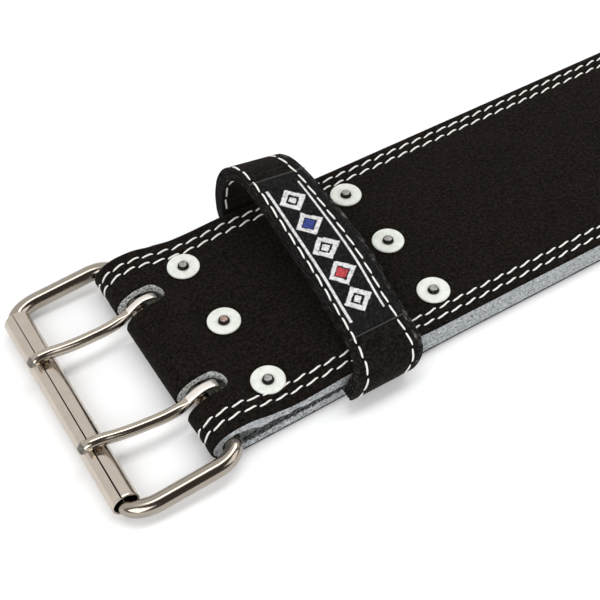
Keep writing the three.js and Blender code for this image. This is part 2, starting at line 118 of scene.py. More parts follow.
# Sizes of the dressed pieces alone, which follow the photograph more closely than the solids
edge_rise_height = 1.7
edge_rise_start = 8
edge_rise_up = 9
edge_rise_end = 29
edge_rise_down = 12
edge_rise_off_middle = 37
edge_rise_across = 8
keeper_extra_climb = 2.4
keeper_extra_near_room = 1.1
keeper_swell = 2.0
keeper_turn_swell = 4.4
label_start = -0.75
label_end = 0.675

# Sizes that follow from those above
wire_radius = wire_diameter / 2
ply_thickness = belt_thickness / 2
bar_height = fold_ply_thickness + bar_play + wire_radius
fold_front = wire_radius + bar_play + fold_front_thickness
fold_top = belt_thickness + fold_bulge
washer_radius = washer_diameter / 2
fold_end = rivet_rows[0]["place"] - washer_radius + layer_gap
keeper_end = keeper_place + keeper_width
roller_radius = roller_diameter / 2
roller_bore = roller_radius - roller_wall
bar_low_in_bore = roller_bore * math.cos(math.pi / roller_sides_in_part) - running_gap - wire_radius
front_bar_height = roller_radius - bar_low_in_bore
frame_tilt = math.asin((bar_height - front_bar_height) / frame_length)
front_bar_x = -frame_length * math.cos(frame_tilt)

# Where the millimetre shapes lie in the row frame
to_row_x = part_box("suede_facing")[1].x * 1000 - belt_length
to_row_y = (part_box("suede_facing")[0].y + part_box("suede_facing")[1].y) * 500
to_row = Matrix.Scale(0.001, 4) @ Matrix.Translation((to_row_x, to_row_y, 0))


def ease(share):
    """Runs from 0 to 1 with a level start and end."""
    t = min(max(share, 0), 1)
    return (1 - math.cos(math.pi * t)) / 2


def mix(a, b, share):
    return a + (b - a) * share


def bell(value, middle, reach):
    """1 at the middle and falling off smoothly on both sides of it."""
    return math.exp(-(((value - middle) / reach) ** 2))


def top_height(x):
    """Height of the belt's upper face at x, behind the crest of the fold."""
    crest_end = fold_crest_offset + fold_crest_length
    fall = fold_bulge * (1 - ease((x - crest_end) / (fold_end - crest_end)))
    ramp_start = fold_end + washer_diameter
    before = (x - ramp_start) / (keeper_place - ramp_start)
    behind_end = rivet_rows[1]["place"] - washer_radius - layer_gap
    behind = (behind_end - x) / (behind_end - keeper_end)
    return belt_thickness + fall + keeper_ply_lift * min(ease(before), ease(behind))


def edge_rise(x, y):
    """Extra height of the belt's margins beside the first rivets, which pinch its middle more."""
    along = ease((x - edge_rise_start) / edge_rise_up) * ease((edge_rise_end - x) / edge_rise_down)
    return edge_rise_height * along * ease((abs(y) - edge_rise_off_middle) / edge_rise_across)


def half_width(x):
    """The belt's half width at x, with the flare of the fold and the round end of the tongue."""
    straight = belt_width / 2 + fold_flare * (1 - ease((x - fold_front) / rivet_rows[1]["place"]))
    past = (x - (belt_length - tongue_rounding)) / tongue_rounding
    return straight * math.sqrt(max(1 - max(past, 0) ** 2, 0))


def slot_y(side):
    return slot_centre + side * slot_spacing / 2


# Making meshes


def linked(name, data):
    """A new object of the scene that shows the given data."""
    obj = bpy.data.objects.new(name, data)
    scene.collection.objects.link(obj)
    return obj


def object_from(name, points, faces):
    """A mesh object in millimetres with its normals outward."""
    mesh = bpy.data.meshes.new(name)
    mesh.from_pydata([tuple(p) for p in points], [], faces)
    work = bmesh.new()
    work.from_mesh(mesh)
    bmesh.ops.recalc_face_normals(work, faces=work.faces)
    work.to_mesh(mesh)
    work.free()
    return linked(name, mesh)


sharp_angle = 38


def place_piece(obj, body, materials, nodes=()):
    """Puts a finished millimetre shape into the row frame, on its body, with its materials."""
    obj.data.transform(to_row)
    for material in materials:
        obj.data.materials.append(material)
    obj.data.shade_smooth()
    obj.data.set_sharp_from_angle(angle=math.radians(sharp_angle))
    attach(obj, body)
    if nodes:
        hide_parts(*nodes)


def loft(rings, closed):
    """Points and faces of a skin through rings of points, joined into a loop or capped."""
    sides = len(rings[0])
    points = [p for ring in rings for p in ring]
    faces = []
    for i in range(len(rings) if closed else len(rings) - 1):
        here = i * sides
        there = (i + 1) % len(rings) * sides
        for k in range(sides):
            turn = (k + 1) % sides
            faces.append((here + k, there + k, there + turn, here + turn))
    if not closed:
        last = (len(rings) - 1) * sides
        faces.append(tuple(range(sides)))
        faces.append(tuple(last + k for k in reversed(range(sides))))
    return points, faces


def boxed(value, power):
    """A sine or cosine pushed towards its ends, which squares off the curve it draws."""
    return math.copysign(abs(value) ** power, value)


def swept(centres, axes, halves, sides):
    """Rings round a line: each has the section's two axes, its two half sizes and its roundness."""
    rings = []
    for centre, (out, other), (out_half, other_half, power) in zip(centres, axes, halves):
        ring = []
        for k in range(sides):
            a = 2 * math.pi * k / sides
            across, up = out_half * boxed(math.cos(a), power), other_half * boxed(math.sin(a), power)
            ring.append(centre + out * across + other * up)
        rings.append(ring)
    return rings


def prism(outline, low, high):
    """A closed upright shape over a flat outline in X and Y."""
    rings = [[Vector((x, y, z)) for x, y in outline] for z in (low, high)]
    return loft(rings, False)


def joined(parts):
    """Several point and face lists as one."""
    points, faces = [], []
    for more_points, more_faces in parts:
        faces += [tuple(k + len(points) for k in face) for face in more_faces]
        points += more_points
    return points, faces


def circle(x, y, radius, sides):
    turns = [2 * math.pi * k / sides for k in range(sides)]
    return [(x + radius * math.cos(a), y + radius * math.sin(a)) for a in turns]


def cut(obj, shapes):
    """Takes closed shapes, given as point and face lists that don't meet, away from a mesh object."""
    tool = object_from("cutter", *joined(shapes))
    modifier = obj.modifiers.new("cut", "BOOLEAN")
    modifier.operation = "DIFFERENCE"
    modifier.solver = "MANIFOLD"
    modifier.object = tool
    depsgraph = bpy.context.evaluated_depsgraph_get()
    result = bpy.data.meshes.new_from_object(obj.evaluated_get(depsgraph))
    result.materials.clear()
    obj.modifiers.clear()
    obj.data = result
    bpy.data.objects.remove(tool)


def wobble(point, size, seed=0.0):
    """Smooth noise from about -1 to 1 that changes over the given size."""
    return noise.noise(Vector(point) / size + Vector((seed, seed * 1.7, -seed)))


# The folded strip of the belt


fold_turn_steps = 24
tongue_steps = 40


def strip_line(step_fine=1.5, step_coarse=3.55):
    """The belt's outer line in X and Z: underside from the tongue, fold, upper face to the tongue."""
    straight_end = belt_length - tongue_rounding
    turns = [t * math.pi / (2 * tongue_steps) for t in range(1, tongue_steps - 1)]
    rounding = [belt_length - tongue_rounding * (1 - math.sin(a)) for a in turns]
    behind = list(np.arange(fold_end, rivet_rows[1]["place"], step_fine))
    behind += list(np.arange(rivet_rows[1]["place"], straight_end, step_coarse))
    behind += [straight_end] + rounding + [belt_length - 0.05]
    lower = fold_front + fold_crest_offset / 2
    upper = fold_front + fold_crest_offset
    flat = [lower - fold_front + 0.5] + list(np.arange(lower - fold_front + 2, fold_end, step_fine))
    crest = list(np.arange(fold_crest_offset, fold_end, step_fine))
    turns = [i / fold_turn_steps * math.pi / 2 for i in range(fold_turn_steps)]
    line = [(x, 0.0) for x in reversed(flat + behind)]
    line += [(lower - fold_front - lower * math.sin(a), bar_height * (1 - math.cos(a))) for a in turns]
    for a in turns:
        rise = (fold_top - bar_height) * math.sin(a)
        line.append((fold_crest_offset - upper * math.cos(a), bar_height + rise))
    return line + [(x, top_height(x)) for x in crest + behind]


def inward(line, i):
    """Unit direction into the strip at point i of its outer line."""
    before = line[max(i - 1, 0)]
    after = line[min(i + 1, len(line) - 1)]
    along = Vector((after[0] - before[0], after[1] - before[1])).normalized()
    return Vector((along.y, 0, -along.x))


# Stitch rows, as distances in from the belt's edge, and their thread and grooves
stitch_rows = (4.0, 8.4)
stitch_pitch = 7.1
stitch_length = 6.35
thread_width = 0.86
thread_height = 0.75
groove_depth = 0.3
groove_width = 0.9


def groove(y, x):
    """How far the suede is pressed in by the stitch rows."""
    if x > belt_length - tongue_rounding:
        return 0.0
    edge = belt_width / 2 - abs(y)
    return groove_depth * sum(bell(edge, row, groove_width) for row in stitch_rows)


# The facing's rounded edge, as distances in from its side and shares of its thickness
facing_edge = ((0.0, 1.0), (0.0, 0.62), (0.08, 0.4), (0.26, 0.18), (0.55, 0.05))
facing_edge_width = 0.9
facing_middle = 36
facing_least_half = 0.6
underside_press = 1.5
small_ripple = 0.05
large_ripple = 0.1
ripple_least = -0.08


def across_stations(half):
    """Places across the belt, close together at the stitch rows and the edge."""
    edge = belt_width / 2
    places = [edge - row + step for row in stitch_rows for step in (-1.6, -0.9, -0.4, 0, 0.4, 0.9, 1.6)]
    places = sorted(places + [*range(0, facing_middle + 1, 6), edge - 2.2, edge - 1.4])
    places = [-y for y in reversed(places)] + places[1:]
    scale = (half - facing_edge_width) / (edge - facing_edge_width)
    return [y * scale if abs(y) > facing_middle or scale < 0.98 else y for y in places]


def facing_section(x, z):
    """Places round the facing's section, each with its depth as a share of the thickness."""
    half = max(half_width(x), facing_least_half)
    press = underside_press if z == 0 else 1
    ring = [(-half + min(back, half / 2), depth) for back, depth in facing_edge]
    for y in across_stations(half):
        ripple = small_ripple * wobble((x, y, z), 18) + large_ripple * wobble((x, y, z), 60, 3.1)
        ring.append((y, groove(y, x) * press + max(ripple, ripple_least) * (z > 0)))
    ring += [(half - min(back, half / 2), depth) for back, depth in reversed(facing_edge)]
    return ring + [(half * share, 1.0) for share in (0.5, 0, -0.5)]


def suede_facing():
    """The black suede skin, rounded at its edges and pressed in along the stitch rows."""
    line = strip_line()
    rings = []
    for i, (x, z) in enumerate(line):
        into = inward(line, i)
        rings.append([
            Vector((x, y, z + edge_rise(x, y) * (z > 0))) + into * (depth * facing_thickness)
            for y, depth in facing_section(x, z)
        ])
    obj = object_from("suede_facing_skin", *loft(rings, False))
    cut(obj, belt_cuts(hole_sides) + [head_room(x, y) for _, x, y in rivet_places()])
    return obj


def rivet_places():
    """Name and place of each rivet."""
    for row in rivet_rows:
        for column, step in rivet_columns:
            yield f"{row['name']}_{column}", row["place"], row["shift"] + step * row["pitch"]


hole_sides = 48
below_belt = -5


def head_room(x, y):
    """Room for one rivet's head in the underside."""
    outline = circle(x, y, rivet_head_diameter / 2 + layer_gap, hole_sides)
    return prism(outline, below_belt, ply_thickness / 2)


def slot_outline(side, sides):
    """The slot of one prong, open over the front of the fold and round at its other end."""
    y, radius = slot_y(side), slot_width / 2
    outline = [(-3 * fold_front, y - radius)]
    for i in range(sides + 1):
        a = -math.pi / 2 + math.pi * i / sides
        outline.append((slot_reach - radius + radius * math.cos(a), y + radius * math.sin(a)))
    outline.append((-3 * fold_front, y + radius))
    return outline


def belt_cuts(sides):
    """Slots, prong holes and rivet holes, through every layer."""
    low, high = below_belt, 2 * fold_top
    cuts = [prism(slot_outline(side, sides // 2), low, high) for side in (1, -1)]
    for i in range(hole_pairs):
        x = belt_length - hole_first_from_tip - i * hole_spacing
        for side in (1, -1):
            cuts.append(prism(circle(x, slot_y(side), hole_diameter / 2, sides), low, high))
    for _, x, y in rivet_places():
        cuts.append(prism(circle(x, y, rivet_diameter / 2 + layer_gap, sides // 2), low, high))
    return cuts


def across_prism(outline, reach):
    """A closed shape over an outline in X and Z, through the whole width."""
    rings = [[Vector((x, y, z)) for x, z in outline] for y in (-reach, reach)]
    return loft(rings, False)


tunnel_steps = 12


def tunnel_line():
    """The tunnel of the buckle bar: wide at the fold and closed where the rivets pinch the plies."""
    room = wire_radius + bar_play
    line, below = [], []
    for i in range(2 * tunnel_steps + 1):
        a = -math.pi / 2 - math.pi * i / (2 * tunnel_steps)
        line.append((room * math.cos(a), bar_height + room * math.sin(a)))
    for i in range(1, tunnel_steps + 1):
        x = fold_end * i / tunnel_steps
        ply = mix(fold_ply_thickness, ply_thickness, ease(i / tunnel_steps))
        line.append((x, top_height(x) - ply))
        if i < tunnel_steps:
            below.append((x, ply))
    return line + below[::-1]


def channel_line():
    """The flat channel between the plies that holds the keeper's hidden run."""
    half = keeper_hidden_thickness / 2 + layer_gap
    low, high = ply_thickness - half, ply_thickness + half
    start, end = keeper_place - layer_gap, keeper_end + layer_gap
    return [(start, low), (end, low), (end, high), (start, high)]


# The torn seam between the plies: its places along the belt, its height there and its depth
seam_places = (10, 18, 26, 34, 46, 56, 62, 90, 104)
seam_heights = (4.8, 3.7, 3.1, 2.6, 2.2, 1.7, 0.9, 0.5, 0.0)
seam_depth = 0.9
seam_start = 6
seam_below_middle = 0.4
seam_raggedness = 0.45
seam_wander = 0.35
seam_fullness = 1.6


def seam_pull(x, z):
    """1 in the middle of the torn seam and 0 outside it."""
    ragged = 1 + seam_raggedness * wobble((x, 0, 0), 3.5, 8.2)
    height = float(np.interp(x, seam_places, seam_heights)) * ragged
    if height < 0.1 or x < seam_start:
        return 0.0
    middle = ply_thickness - seam_below_middle + seam_wander * wobble((x, 0, 0), 6, 2.4)
    return ease(seam_fullness - 2 * abs(z - middle) / height)


core_overlap = 0.95
core_side_inset = 0.12
core_tip_inset = 0.2


def leather_core():
    """The grey leather, with rough fibrous edges and the torn seam between its plies."""
    line = strip_line(2.5, 6)
    inset = core_overlap * facing_thickness
    outline = []
    for i, (x, z) in enumerate(line):
        into = inward(line, i)
        outline.append((min(x + into.x * inset, belt_length - core_tip_inset), z + into.z * inset))
    rings = []
    for side in (-1, 1):
        rings.append([Vector((x, side * (half_width(x) - core_side_inset), z)) for x, z in outline])
    obj = object_from("leather_core_body", *loft(rings, False))
    cut(obj, [across_prism(tunnel_line(), belt_width), across_prism(channel_line(), belt_width)])
    cut(obj, belt_cuts(hole_sides))
    work = bmesh.new()
    work.from_mesh(obj.data)
    add_grid(work)
    roughen(work)
    work.to_mesh(obj.data)
    work.free()
    return obj


# Where the core's mesh is cut into cells: start, end and step along the belt, heights and margins
grid_runs = ((-7.5, 16, 0.9), (17, 200, 1.6), (203, belt_length - 1, 4))
grid_heights = (1.6, 2.8, 4.2, 5.2, 5.9, 6.5, 7.1, 7.9, 9.2, 10.6, 11.8, 13.3, 14.8)
grid_margins = (36, 38.5, 40.5, 42.5, 44.5, 47)
grid_margins_end = 32


def slice_mesh(work, geometry, point, normal):
    bmesh.ops.bisect_plane(work, geom=geometry, dist=1e-4, plane_co=point, plane_no=normal)


def add_grid(work):
    """Cuts the core's mesh into cells that are smallest at the buckle."""
    bmesh.ops.triangulate(work, faces=work.faces)
    planes = [((x, 0, 0), (1, 0, 0)) for run in grid_runs for x in np.arange(*run)]
    planes += [((0, 0, z), (0, 0, 1)) for z in grid_heights]
    for point, normal in planes:
        slice_mesh(work, work.verts[:] + work.edges[:] + work.faces[:], point, normal)
    for y in grid_margins:
        for side in (1, -1):
            near = [face for face in work.faces if face.calc_center_median().x < grid_margins_end]
            edges = {edge for face in near for edge in face.edges}
            verts = {vert for face in near for vert in face.verts}
            slice_mesh(work, [*verts, *edges, *near], (0, side * y, 0), (0, 1, 0))
    bmesh.ops.remove_doubles(work, verts=work.verts, dist=1e-3)


side_tolerance = 0.7
wall_tolerance = 0.4
fibre_depth = 0.1
fibre_floor = 0.08


def roughen(work):
    """Pulls fibres and the torn seam into the core's sides and slots, and marks the seam and slots."""
    shade = work.verts.layers.float_color.new("seam")
    wall_shade = work.verts.layers.float_color.new("cut_wall")
    for vert in work.verts:
        x, y, z = vert.co
        on_side = abs(y) > half_width(x) - side_tolerance
        off_slot = min(abs(y - slot_y(side)) for side in (1, -1))
        on_wall = x < slot_reach + wall_tolerance and off_slot < slot_width / 2 + wall_tolerance
        pull = seam_pull(x, z) if on_side else 0.0
        vert[shade] = (pull, pull, pull, 1)
        vert[wall_shade] = (on_wall, on_wall, on_wall, 1)
        if z > ply_thickness and x > 0:
            vert.co.z += edge_rise(x, y) * (z - ply_thickness) / (top_height(x) - ply_thickness)
        if on_side:
            rough = fibre_depth * wobble(vert.co, 1.1) + fibre_depth * wobble(vert.co, 3.3, 5.0)
            vert.co.y -= math.copysign(pull * seam_depth + max(rough, -fibre_floor) + fibre_floor, y)
        elif on_wall:
            vert.co.y += fibre_depth * wobble(vert.co, 1.0, 1.0)
            vert.co.x += fibre_depth * wobble(vert.co, 1.0, 2.0)


fibre_steps = 40
fibre_inset = 1.7
fibre_back = 6
fibre_overlap = 0.3
fine_fibres = 0.55
coarse_fibres = 0.5


def split_fibres(side):
    """The rough torn fibre that fills the mouth of the tunnel behind the bar."""
    start, end = wire_radius + bar_play + 0.4, fold_end + 3
    rings = []
    for i in range(fibre_steps + 1):
        x = mix(start, end, i / fibre_steps)
        ply = mix(fold_ply_thickness, ply_thickness, ease(min(x / fold_end, 1)))
        low = min(ply, ply_thickness - 1) - fibre_overlap
        high = max(top_height(x) - ply, ply_thickness + 1) + fibre_overlap
        ring = []
        for share in (0, 0.14, 0.28, 0.42, 0.56, 0.7, 0.84, 1):
            z = mix(low, high + edge_rise(x, belt_width / 2), share)
            rough = fine_fibres * wobble((x, 0, z), 1.2, side * 4.0)
            rough += coarse_fibres * wobble((x, 0, z), 3, side * 2.0)
            ring.append(Vector((x, side * (half_width(x) - fibre_inset + rough), z)))
        ring += [Vector((x, side * (half_width(x) - fibre_back), z)) for z in (high, low)]
        rings.append(ring)
    return loft(rings, False)


# Stitches


outline_start = 2.1
outline_step = 2.0
tongue_turn_steps = 60


def belt_outline(far):
    """Half of the belt's outline in X and Y, from behind the fold to the middle of the tongue."""
    start = belt_length - tongue_rounding
    line = [(x, belt_width / 2) for x in np.arange(outline_start, start, outline_step)]
    for i in range(tongue_turn_steps + 1):
        a = math.pi / 2 * (1 - i / tongue_turn_steps)
        line.append((start + tongue_rounding * math.cos(a), belt_width / 2 * math.sin(a)))
    return [(x, y if far else -y) for x, y in line]


def inset_outline(line, distance, far):
    """An outline moved in towards the middle of the belt."""
    moved = []
    for i, (x, y) in enumerate(line):
        before, after = line[max(i - 1, 0)], line[min(i + 1, len(line) - 1)]
        along = Vector((after[0] - before[0], after[1] - before[1])).normalized()
        right = Vector((along.y, -along.x)) * (1 if far else -1)
        moved.append((x + right.x * distance, y + right.y * distance))
    return [(x, y) for x, y in moved if (y >= 0) == far or abs(y) < 0.3]


def row_path(distance):
    """One stitch row, all round the belt and its underside, as points with surface normals."""
    line = strip_line()
    turn = [(p, -inward(line, i)) for i, p in enumerate(line) if p[0] < fold_crest_offset]
    folds, tops, under = {}, {}, {}
    for far in (True, False):
        flat = [p for p in inset_outline(belt_outline(far), distance, far) if p[0] > fold_crest_offset]
        y = (belt_width / 2 - distance) * (1 if far else -1)
        folds[far] = [(Vector((p[0], y, p[1])), normal) for p, normal in turn]
        tops[far] = [(Vector((x, y, margin_height(x, y))), top_normal(x, y)) for x, y in flat]
        under[far] = [(Vector((x, y, 0)), Vector((0, 0, -1))) for x, y in flat]
    path = folds[True] + tops[True] + tops[False][::-1]
    return path + folds[False][::-1] + under[False] + under[True][::-1]


def margin_height(x, y):
    return top_height(x) + edge_rise(x, y)


def top_normal(x, y):
    slope = (margin_height(x + 0.2, y) - margin_height(x - 0.2, y)) / 0.4
    return Vector((-slope, 0, 1)).normalized()


def resample(path, closed=True):
    """Cumulative length and arrays for a path of points with normals."""
    points = np.array([p for p, _ in path] + ([path[0][0]] if closed else []))
    normals = np.array([n for _, n in path] + ([path[0][1]] if closed else []))
    steps = np.linalg.norm(np.diff(points, axis=0), axis=1)
    keep = np.concatenate([[True], steps > 1e-4])
    lengths = np.concatenate([[0], np.cumsum(steps)])[keep]
    return lengths, points[keep], normals[keep]


def on_path(track, s):
    """Point, unit normal and unit direction at length s of a resampled path."""
    lengths, points, normals = track

    def at(values, place):
        return Vector([float(np.interp(place, lengths, values[:, k])) for k in range(3)])

    s = s % lengths[-1]
    ahead = at(points, min(s + 0.3, lengths[-1]))
    behind = at(points, max(s - 0.3, 0))
    return at(points, s), at(normals, s).normalized(), (ahead - behind).normalized()


stitch_profile = (
    # share of the length, thickness, rise
    (0.0, 0.35, -0.62),
    (0.07, 0.72, -0.28),
    (0.2, 0.95, 0.02),
    (0.4, 1.0, 0.1),
    (0.62, 1.0, 0.1),
    (0.82, 0.95, 0.04),
    (0.93, 0.75, -0.22),
    (1.0, 0.38, -0.6),
)
stitch_slant = 0.95
stitch_jitter = 0.25
second_row_shift = 0.45
upper_stitch_lift = -0.05
underside_stitch_lift = -0.5
stitch_sides = 8


def stitch(track, start, length, lift, slant):
    """One stitch of thread that lies on the surface and dives in at both ends."""
    centres, axes, halves = [], [], []
    for share, thick, rise in stitch_profile:
        point, normal, along = on_path(track, start + share * length)
        left = normal.cross(along).normalized()
        sway = slant * (ease(share * 1.25) - 0.55)
        centres.append(point + left * sway + normal * (lift + rise * thread_height))
        axes.append((left, normal))
        halves.append((thread_width / 2 * thick, thread_height / 2 * thick, 1))
    return loft(swept(centres, axes, halves, stitch_sides), False)


def belt_stitches():
    """The stitches of both rows, sorted into those seen from above and those of the underside."""
    above, below = [], []
    for index, distance in enumerate(stitch_rows):
        track = resample(row_path(distance))
        count = round(track[0][-1] / stitch_pitch)
        pitch = track[0][-1] / count
        for i in range(count):
            start = (i + second_row_shift * index) * pitch + stitch_jitter * wobble((i, index, 0), 1.3)
            point, normal, _ = on_path(track, start + stitch_length / 2)
            under = normal.z < -0.7
            if under and rivet_head_near(point):
                continue
            length = stitch_length + stitch_jitter * wobble((i, index, 5), 1.1)
            lift = underside_stitch_lift if under else upper_stitch_lift
            slant = stitch_slant * (1 + 0.4 * wobble((i, index, 9), 1.7))
            (below if under else above).append(stitch(track, start, length, lift, slant))
    return above, below


def rivet_head_near(point):
    room = rivet_head_diameter / 2 + 1
    return any(math.hypot(point.x - x, point.y - y) < room for _, x, y in rivet_places())


# Keeper


keeper_rows = (
    # side, up, climb, lean, drop, thick: shares as in the part's source, apart from the seven rows
    # of the near turn, from a side of -0.94 to -0.98, which follow the photograph more closely
    (-0.5, 0, 0, 0, 0, 0),
    (-0.88, 0, 0, 0, 0, 0),
    (-0.93, 0, 0, 0, 0, 0),
    (-0.94, -0.13, 0, -0.2, 0, 0.12),
    (-0.96, -0.2, 0, -0.38, 0, 0.34),
    (-0.985, -0.08, 0, -0.4, 0, 0.64),
    (-1.0, 0.2, 0, -0.24, 0, 0.9),
    (-1.005, 0.5, 0, 0.0, 0, 1),
    (-0.998, 0.72, 0, 0.2, 0, 1),
    (-0.98, 0.88, 0, 0.34, 0, 1),
    (-0.945, 0.985, 0, 0.46, 0, 1),
    (-0.88, 1.02, 0, 0.55, 0, 1),
    (-0.8, 1.01, 0.012, 0.63, 0, 1),
    (-0.68, 1, 0.055, 0.72, 0, 1),
    (-0.5, 1, 0.14, 0.82, 0, 1),
    (-0.2, 1, 0.36, 0.95, 0, 1),
    (0.17, 1, 0.61, 1, 0.12, 1),
    (0.5, 1, 0.86, 1, 0.5, 1),
    (0.71, 1, 0.98, 0.95, 0.85, 1),
    (0.84, 1, 0.99, 0.8, 1, 1),
    (0.94, 1, 0.85, 0.5, 1, 1),
    (0.985, 1, 0.55, 0.22, 0.85, 1),
    (1.0, 1, 0.1, 0.04, 0.45, 1),
    (0.995, 0.5, 0, 0, 0.1, 0.96),
    (0.985, 0.18, 0, 0, 0, 0.78),
    (0.965, -0.06, 0, 0, 0, 0.5),
    (0.93, -0.14, 0, 0, 0, 0.25),
    (0.903, 0, 0, 0, 0, 0),
    (0.86, 0, 0, 0, 0, 0),
    (0.5, 0, 0, 0, 0, 0),
)


def smooth_loop(values, at):
    """A point on the closed Catmull-Rom curve through the values, at a share of the way round."""
    count = len(values)
    place = at % 1 * count
    i = int(place)
    t = place - i
    a, b, c, d = (values[(i + k) % count] for k in (-1, 0, 1, 2))
    start, end = (c - a) / 2, (d - b) / 2
    bend = 2 * (b - c) + start + end
    swing = 3 * (c - b) - 2 * start - end
    return ((bend * t + swing) * t + start) * t + b


keeper_steps = 300
label_steps = 1500


def keeper_stations(steps):
    """The strap's place, tilt and thickness at each step round the loop."""
    middle = (keeper_place + keeper_end) / 2
    wall = half_width(middle) + keeper_thickness / 2
    spans = {True: wall + keeper_far_room, False: wall + keeper_near_room + keeper_extra_near_room}
    lying = top_height(middle) + layer_gap + keeper_thickness / 2
    places, forms = [], []
    for side, up, climb, lean, drop, thick in keeper_rows:
        z = ply_thickness + up * (lying - ply_thickness) + climb * (keeper_climb + keeper_extra_climb)
        places.append(np.array((middle + lean * keeper_lean, side * spans[side > 0], z)))
        forms.append(np.array((thick, drop, side)))
    stations = []
    for i in range(steps):
        at = i / steps
        centre = smooth_loop(places, at)
        thick, drop, side = smooth_loop(forms, at)
        thick = min(max(thick, 0), 1)
        along = smooth_loop(places, at + 1e-3) - smooth_loop(places, at - 1e-3)
        stations.append({
            "centre": Vector(centre),
            "outward": Vector((0, -along[2], along[1])).normalized(),
            "thickness": mix(keeper_hidden_thickness, keeper_thickness, thick),
            "swell": keeper_swell * thick * bell(side, *long_run_bell),
            "turn_swell": keeper_turn_swell * turn_share(side, centre[2]),
            "drop": min(max(drop, 0), 1) * keeper_twist,
            "side": side,
            "along": Vector(along).normalized(),
        })
    return stations


# Where the strap swells: middle and reach as sides, from -1 near to 1 far, and heights on its near wall
long_run_bell = (-0.1, 0.5)
near_turn_bell = (-1.02, 0.16)
near_turn_start = 3.5
near_turn_height = 5.5
near_turn_power = 6


def turn_share(side, z):
    """How far the near turn's left edge swells out, from 0 to 1: most on its wall, none under it."""
    return bell(side, *near_turn_bell) * ease((z - near_turn_start) / near_turn_height)


def strap_point(station, across, out):
    """A point of the strap, from its place across it and out from its centre line."""
    half = keeper_width / 2
    point = station["centre"] + station["outward"] * out
    point.x += across + station["swell"] * max(across, 0) / half
    point.x -= station["turn_swell"] * (max(-across, 0) / half) ** near_turn_power
    point.z -= station["drop"] * (across / keeper_width + 0.5)
    return point


keeper_seams = (2.3 - keeper_width / 2, keeper_width / 2 - 5.0)
keeper_plies = 4
keeper_face_steps = 14
# Each ply's cut edge, as shares of its thickness and how far it is pulled in, and its outer corners
ply_section = ((0.06, 0.5), (0.22, 0.08), (0.5, 0.0), (0.78, 0.08), (0.94, 0.5))
keeper_corner_pull = 0.55
keeper_corner_width = 1.0


def seam_press(across, width):
    """How far the thread pulls the face in, from 0 to 1, at a place across the strap."""
    return max(bell(place, across, width) for place in keeper_seams)


def keeper_outline(thickness, at):
    """The strap's section: layered edges with a notch between plies, and softly rounded corners."""
    half, tall = keeper_width / 2, thickness / 2
    full = min(thickness / keeper_thickness, 1)
    ply = thickness / keeper_plies
    corners = ((0, ply_section[0][0]), (keeper_plies - 1, ply_section[-1][0]))
    left = []
    for k in range(keeper_plies):
        swell = max(0.12 * wobble((at, k * 3, 0), 7), 0)
        for share, pull in ply_section:
            pull = max(pull, keeper_corner_pull if (k, share) in corners else 0)
            left.append((-half + full * (pull + swell), -tall + k * ply + share * ply))
    top = []
    reach = half - keeper_corner_width
    for k in range(keeper_face_steps + 1):
        across = mix(-reach, reach, k / keeper_face_steps)
        dip = 0.22 * seam_press(across, 0.8) + (0.1 if k in (0, keeper_face_steps) else 0)
        top.append((across, tall - full * dip))
    right = [(-a, o) for a, o in reversed(left)]
    bottom = [(a, -o) for a, o in reversed(top)]
    return left + top + right + bottom


def keeper_loop():
    """The strap, with its left cut edge in the second material and the scuffed right one in the third."""
    rings = []
    for i, station in enumerate(keeper_stations(keeper_steps)):
        outline = keeper_outline(station["thickness"], i)
        rings.append([strap_point(station, a, o) for a, o in outline])
    obj = object_from("keeper_strap", *loft(rings, True))
    edge = len(ply_section) * keeper_plies
    right_start = edge + keeper_face_steps + 1
    for i, face in enumerate(obj.data.polygons):
        k = i % len(rings[0])
        if k < edge - 1:
            face.material_index = 1
        elif right_start - 2 <= k < right_start + edge - 1:
            face.material_index = 2
    return obj


def shown_stations(stations, least=0.985):
    """The stations where the strap has at least this share of its thickness, in order."""
    return [s for s in stations if s["thickness"] > keeper_thickness * least]


def label_share(station):
    return (station["side"] - label_start) / (label_end - label_start)


label_lift = 0.5
keeper_stitch_pitch = 7.4
keeper_stitch_length = 6.75
keeper_stitch_slant = 0.35
keeper_stitch_lift = -0.1


def keeper_stitches():
    """Rows along both edges of the strap, on its outer face and on its inner face."""
    parts = []
    for place in keeper_seams:
        across = math.copysign(1, place)
        for face, least in ((1, 0.6), (-1, 0.97)):
            path = []
            for s in shown_stations(keeper_stations(keeper_steps), least):
                on_label = face > 0 and 0 <= label_share(s) <= 1
                out = face * s["thickness"] / 2 + (label_lift * 0.7 if on_label else 0)
                path.append((strap_point(s, place, out), s["outward"] * face))
            track = resample(path, False)
            for i in range(int(track[0][-1] / keeper_stitch_pitch)):
                start = (i + 0.3 + 0.2 * across) * keeper_stitch_pitch
                start += 0.3 * wobble((i, place, face), 1.1)
                if start + keeper_stitch_length <= track[0][-1]:
                    slant = keeper_stitch_slant * across * face
                    parts.append(stitch(track, start, keeper_stitch_length, keeper_stitch_lift, slant))
    return object_from("keeper_stitches", *joined(parts))


# Label


label_half = keeper_width / 2 - 1.5
label_foot = 0.5
label_rim_lift = -0.15
label_seam_press = 0.3
figure_lift = 0.1
thread_cell = 0.42
label_margin = 6.5
lozenge_pitch = 13.4
lozenge_gap = 0.6
lozenge_half_width = 6.4
edge_line = (7.3, 8.3)
# A lozenge's heart ends, and its white ring starts, at these shares of its reach
white_lozenge = (0.32, 0.55)
coloured_lozenge = (0.5, 0.62)


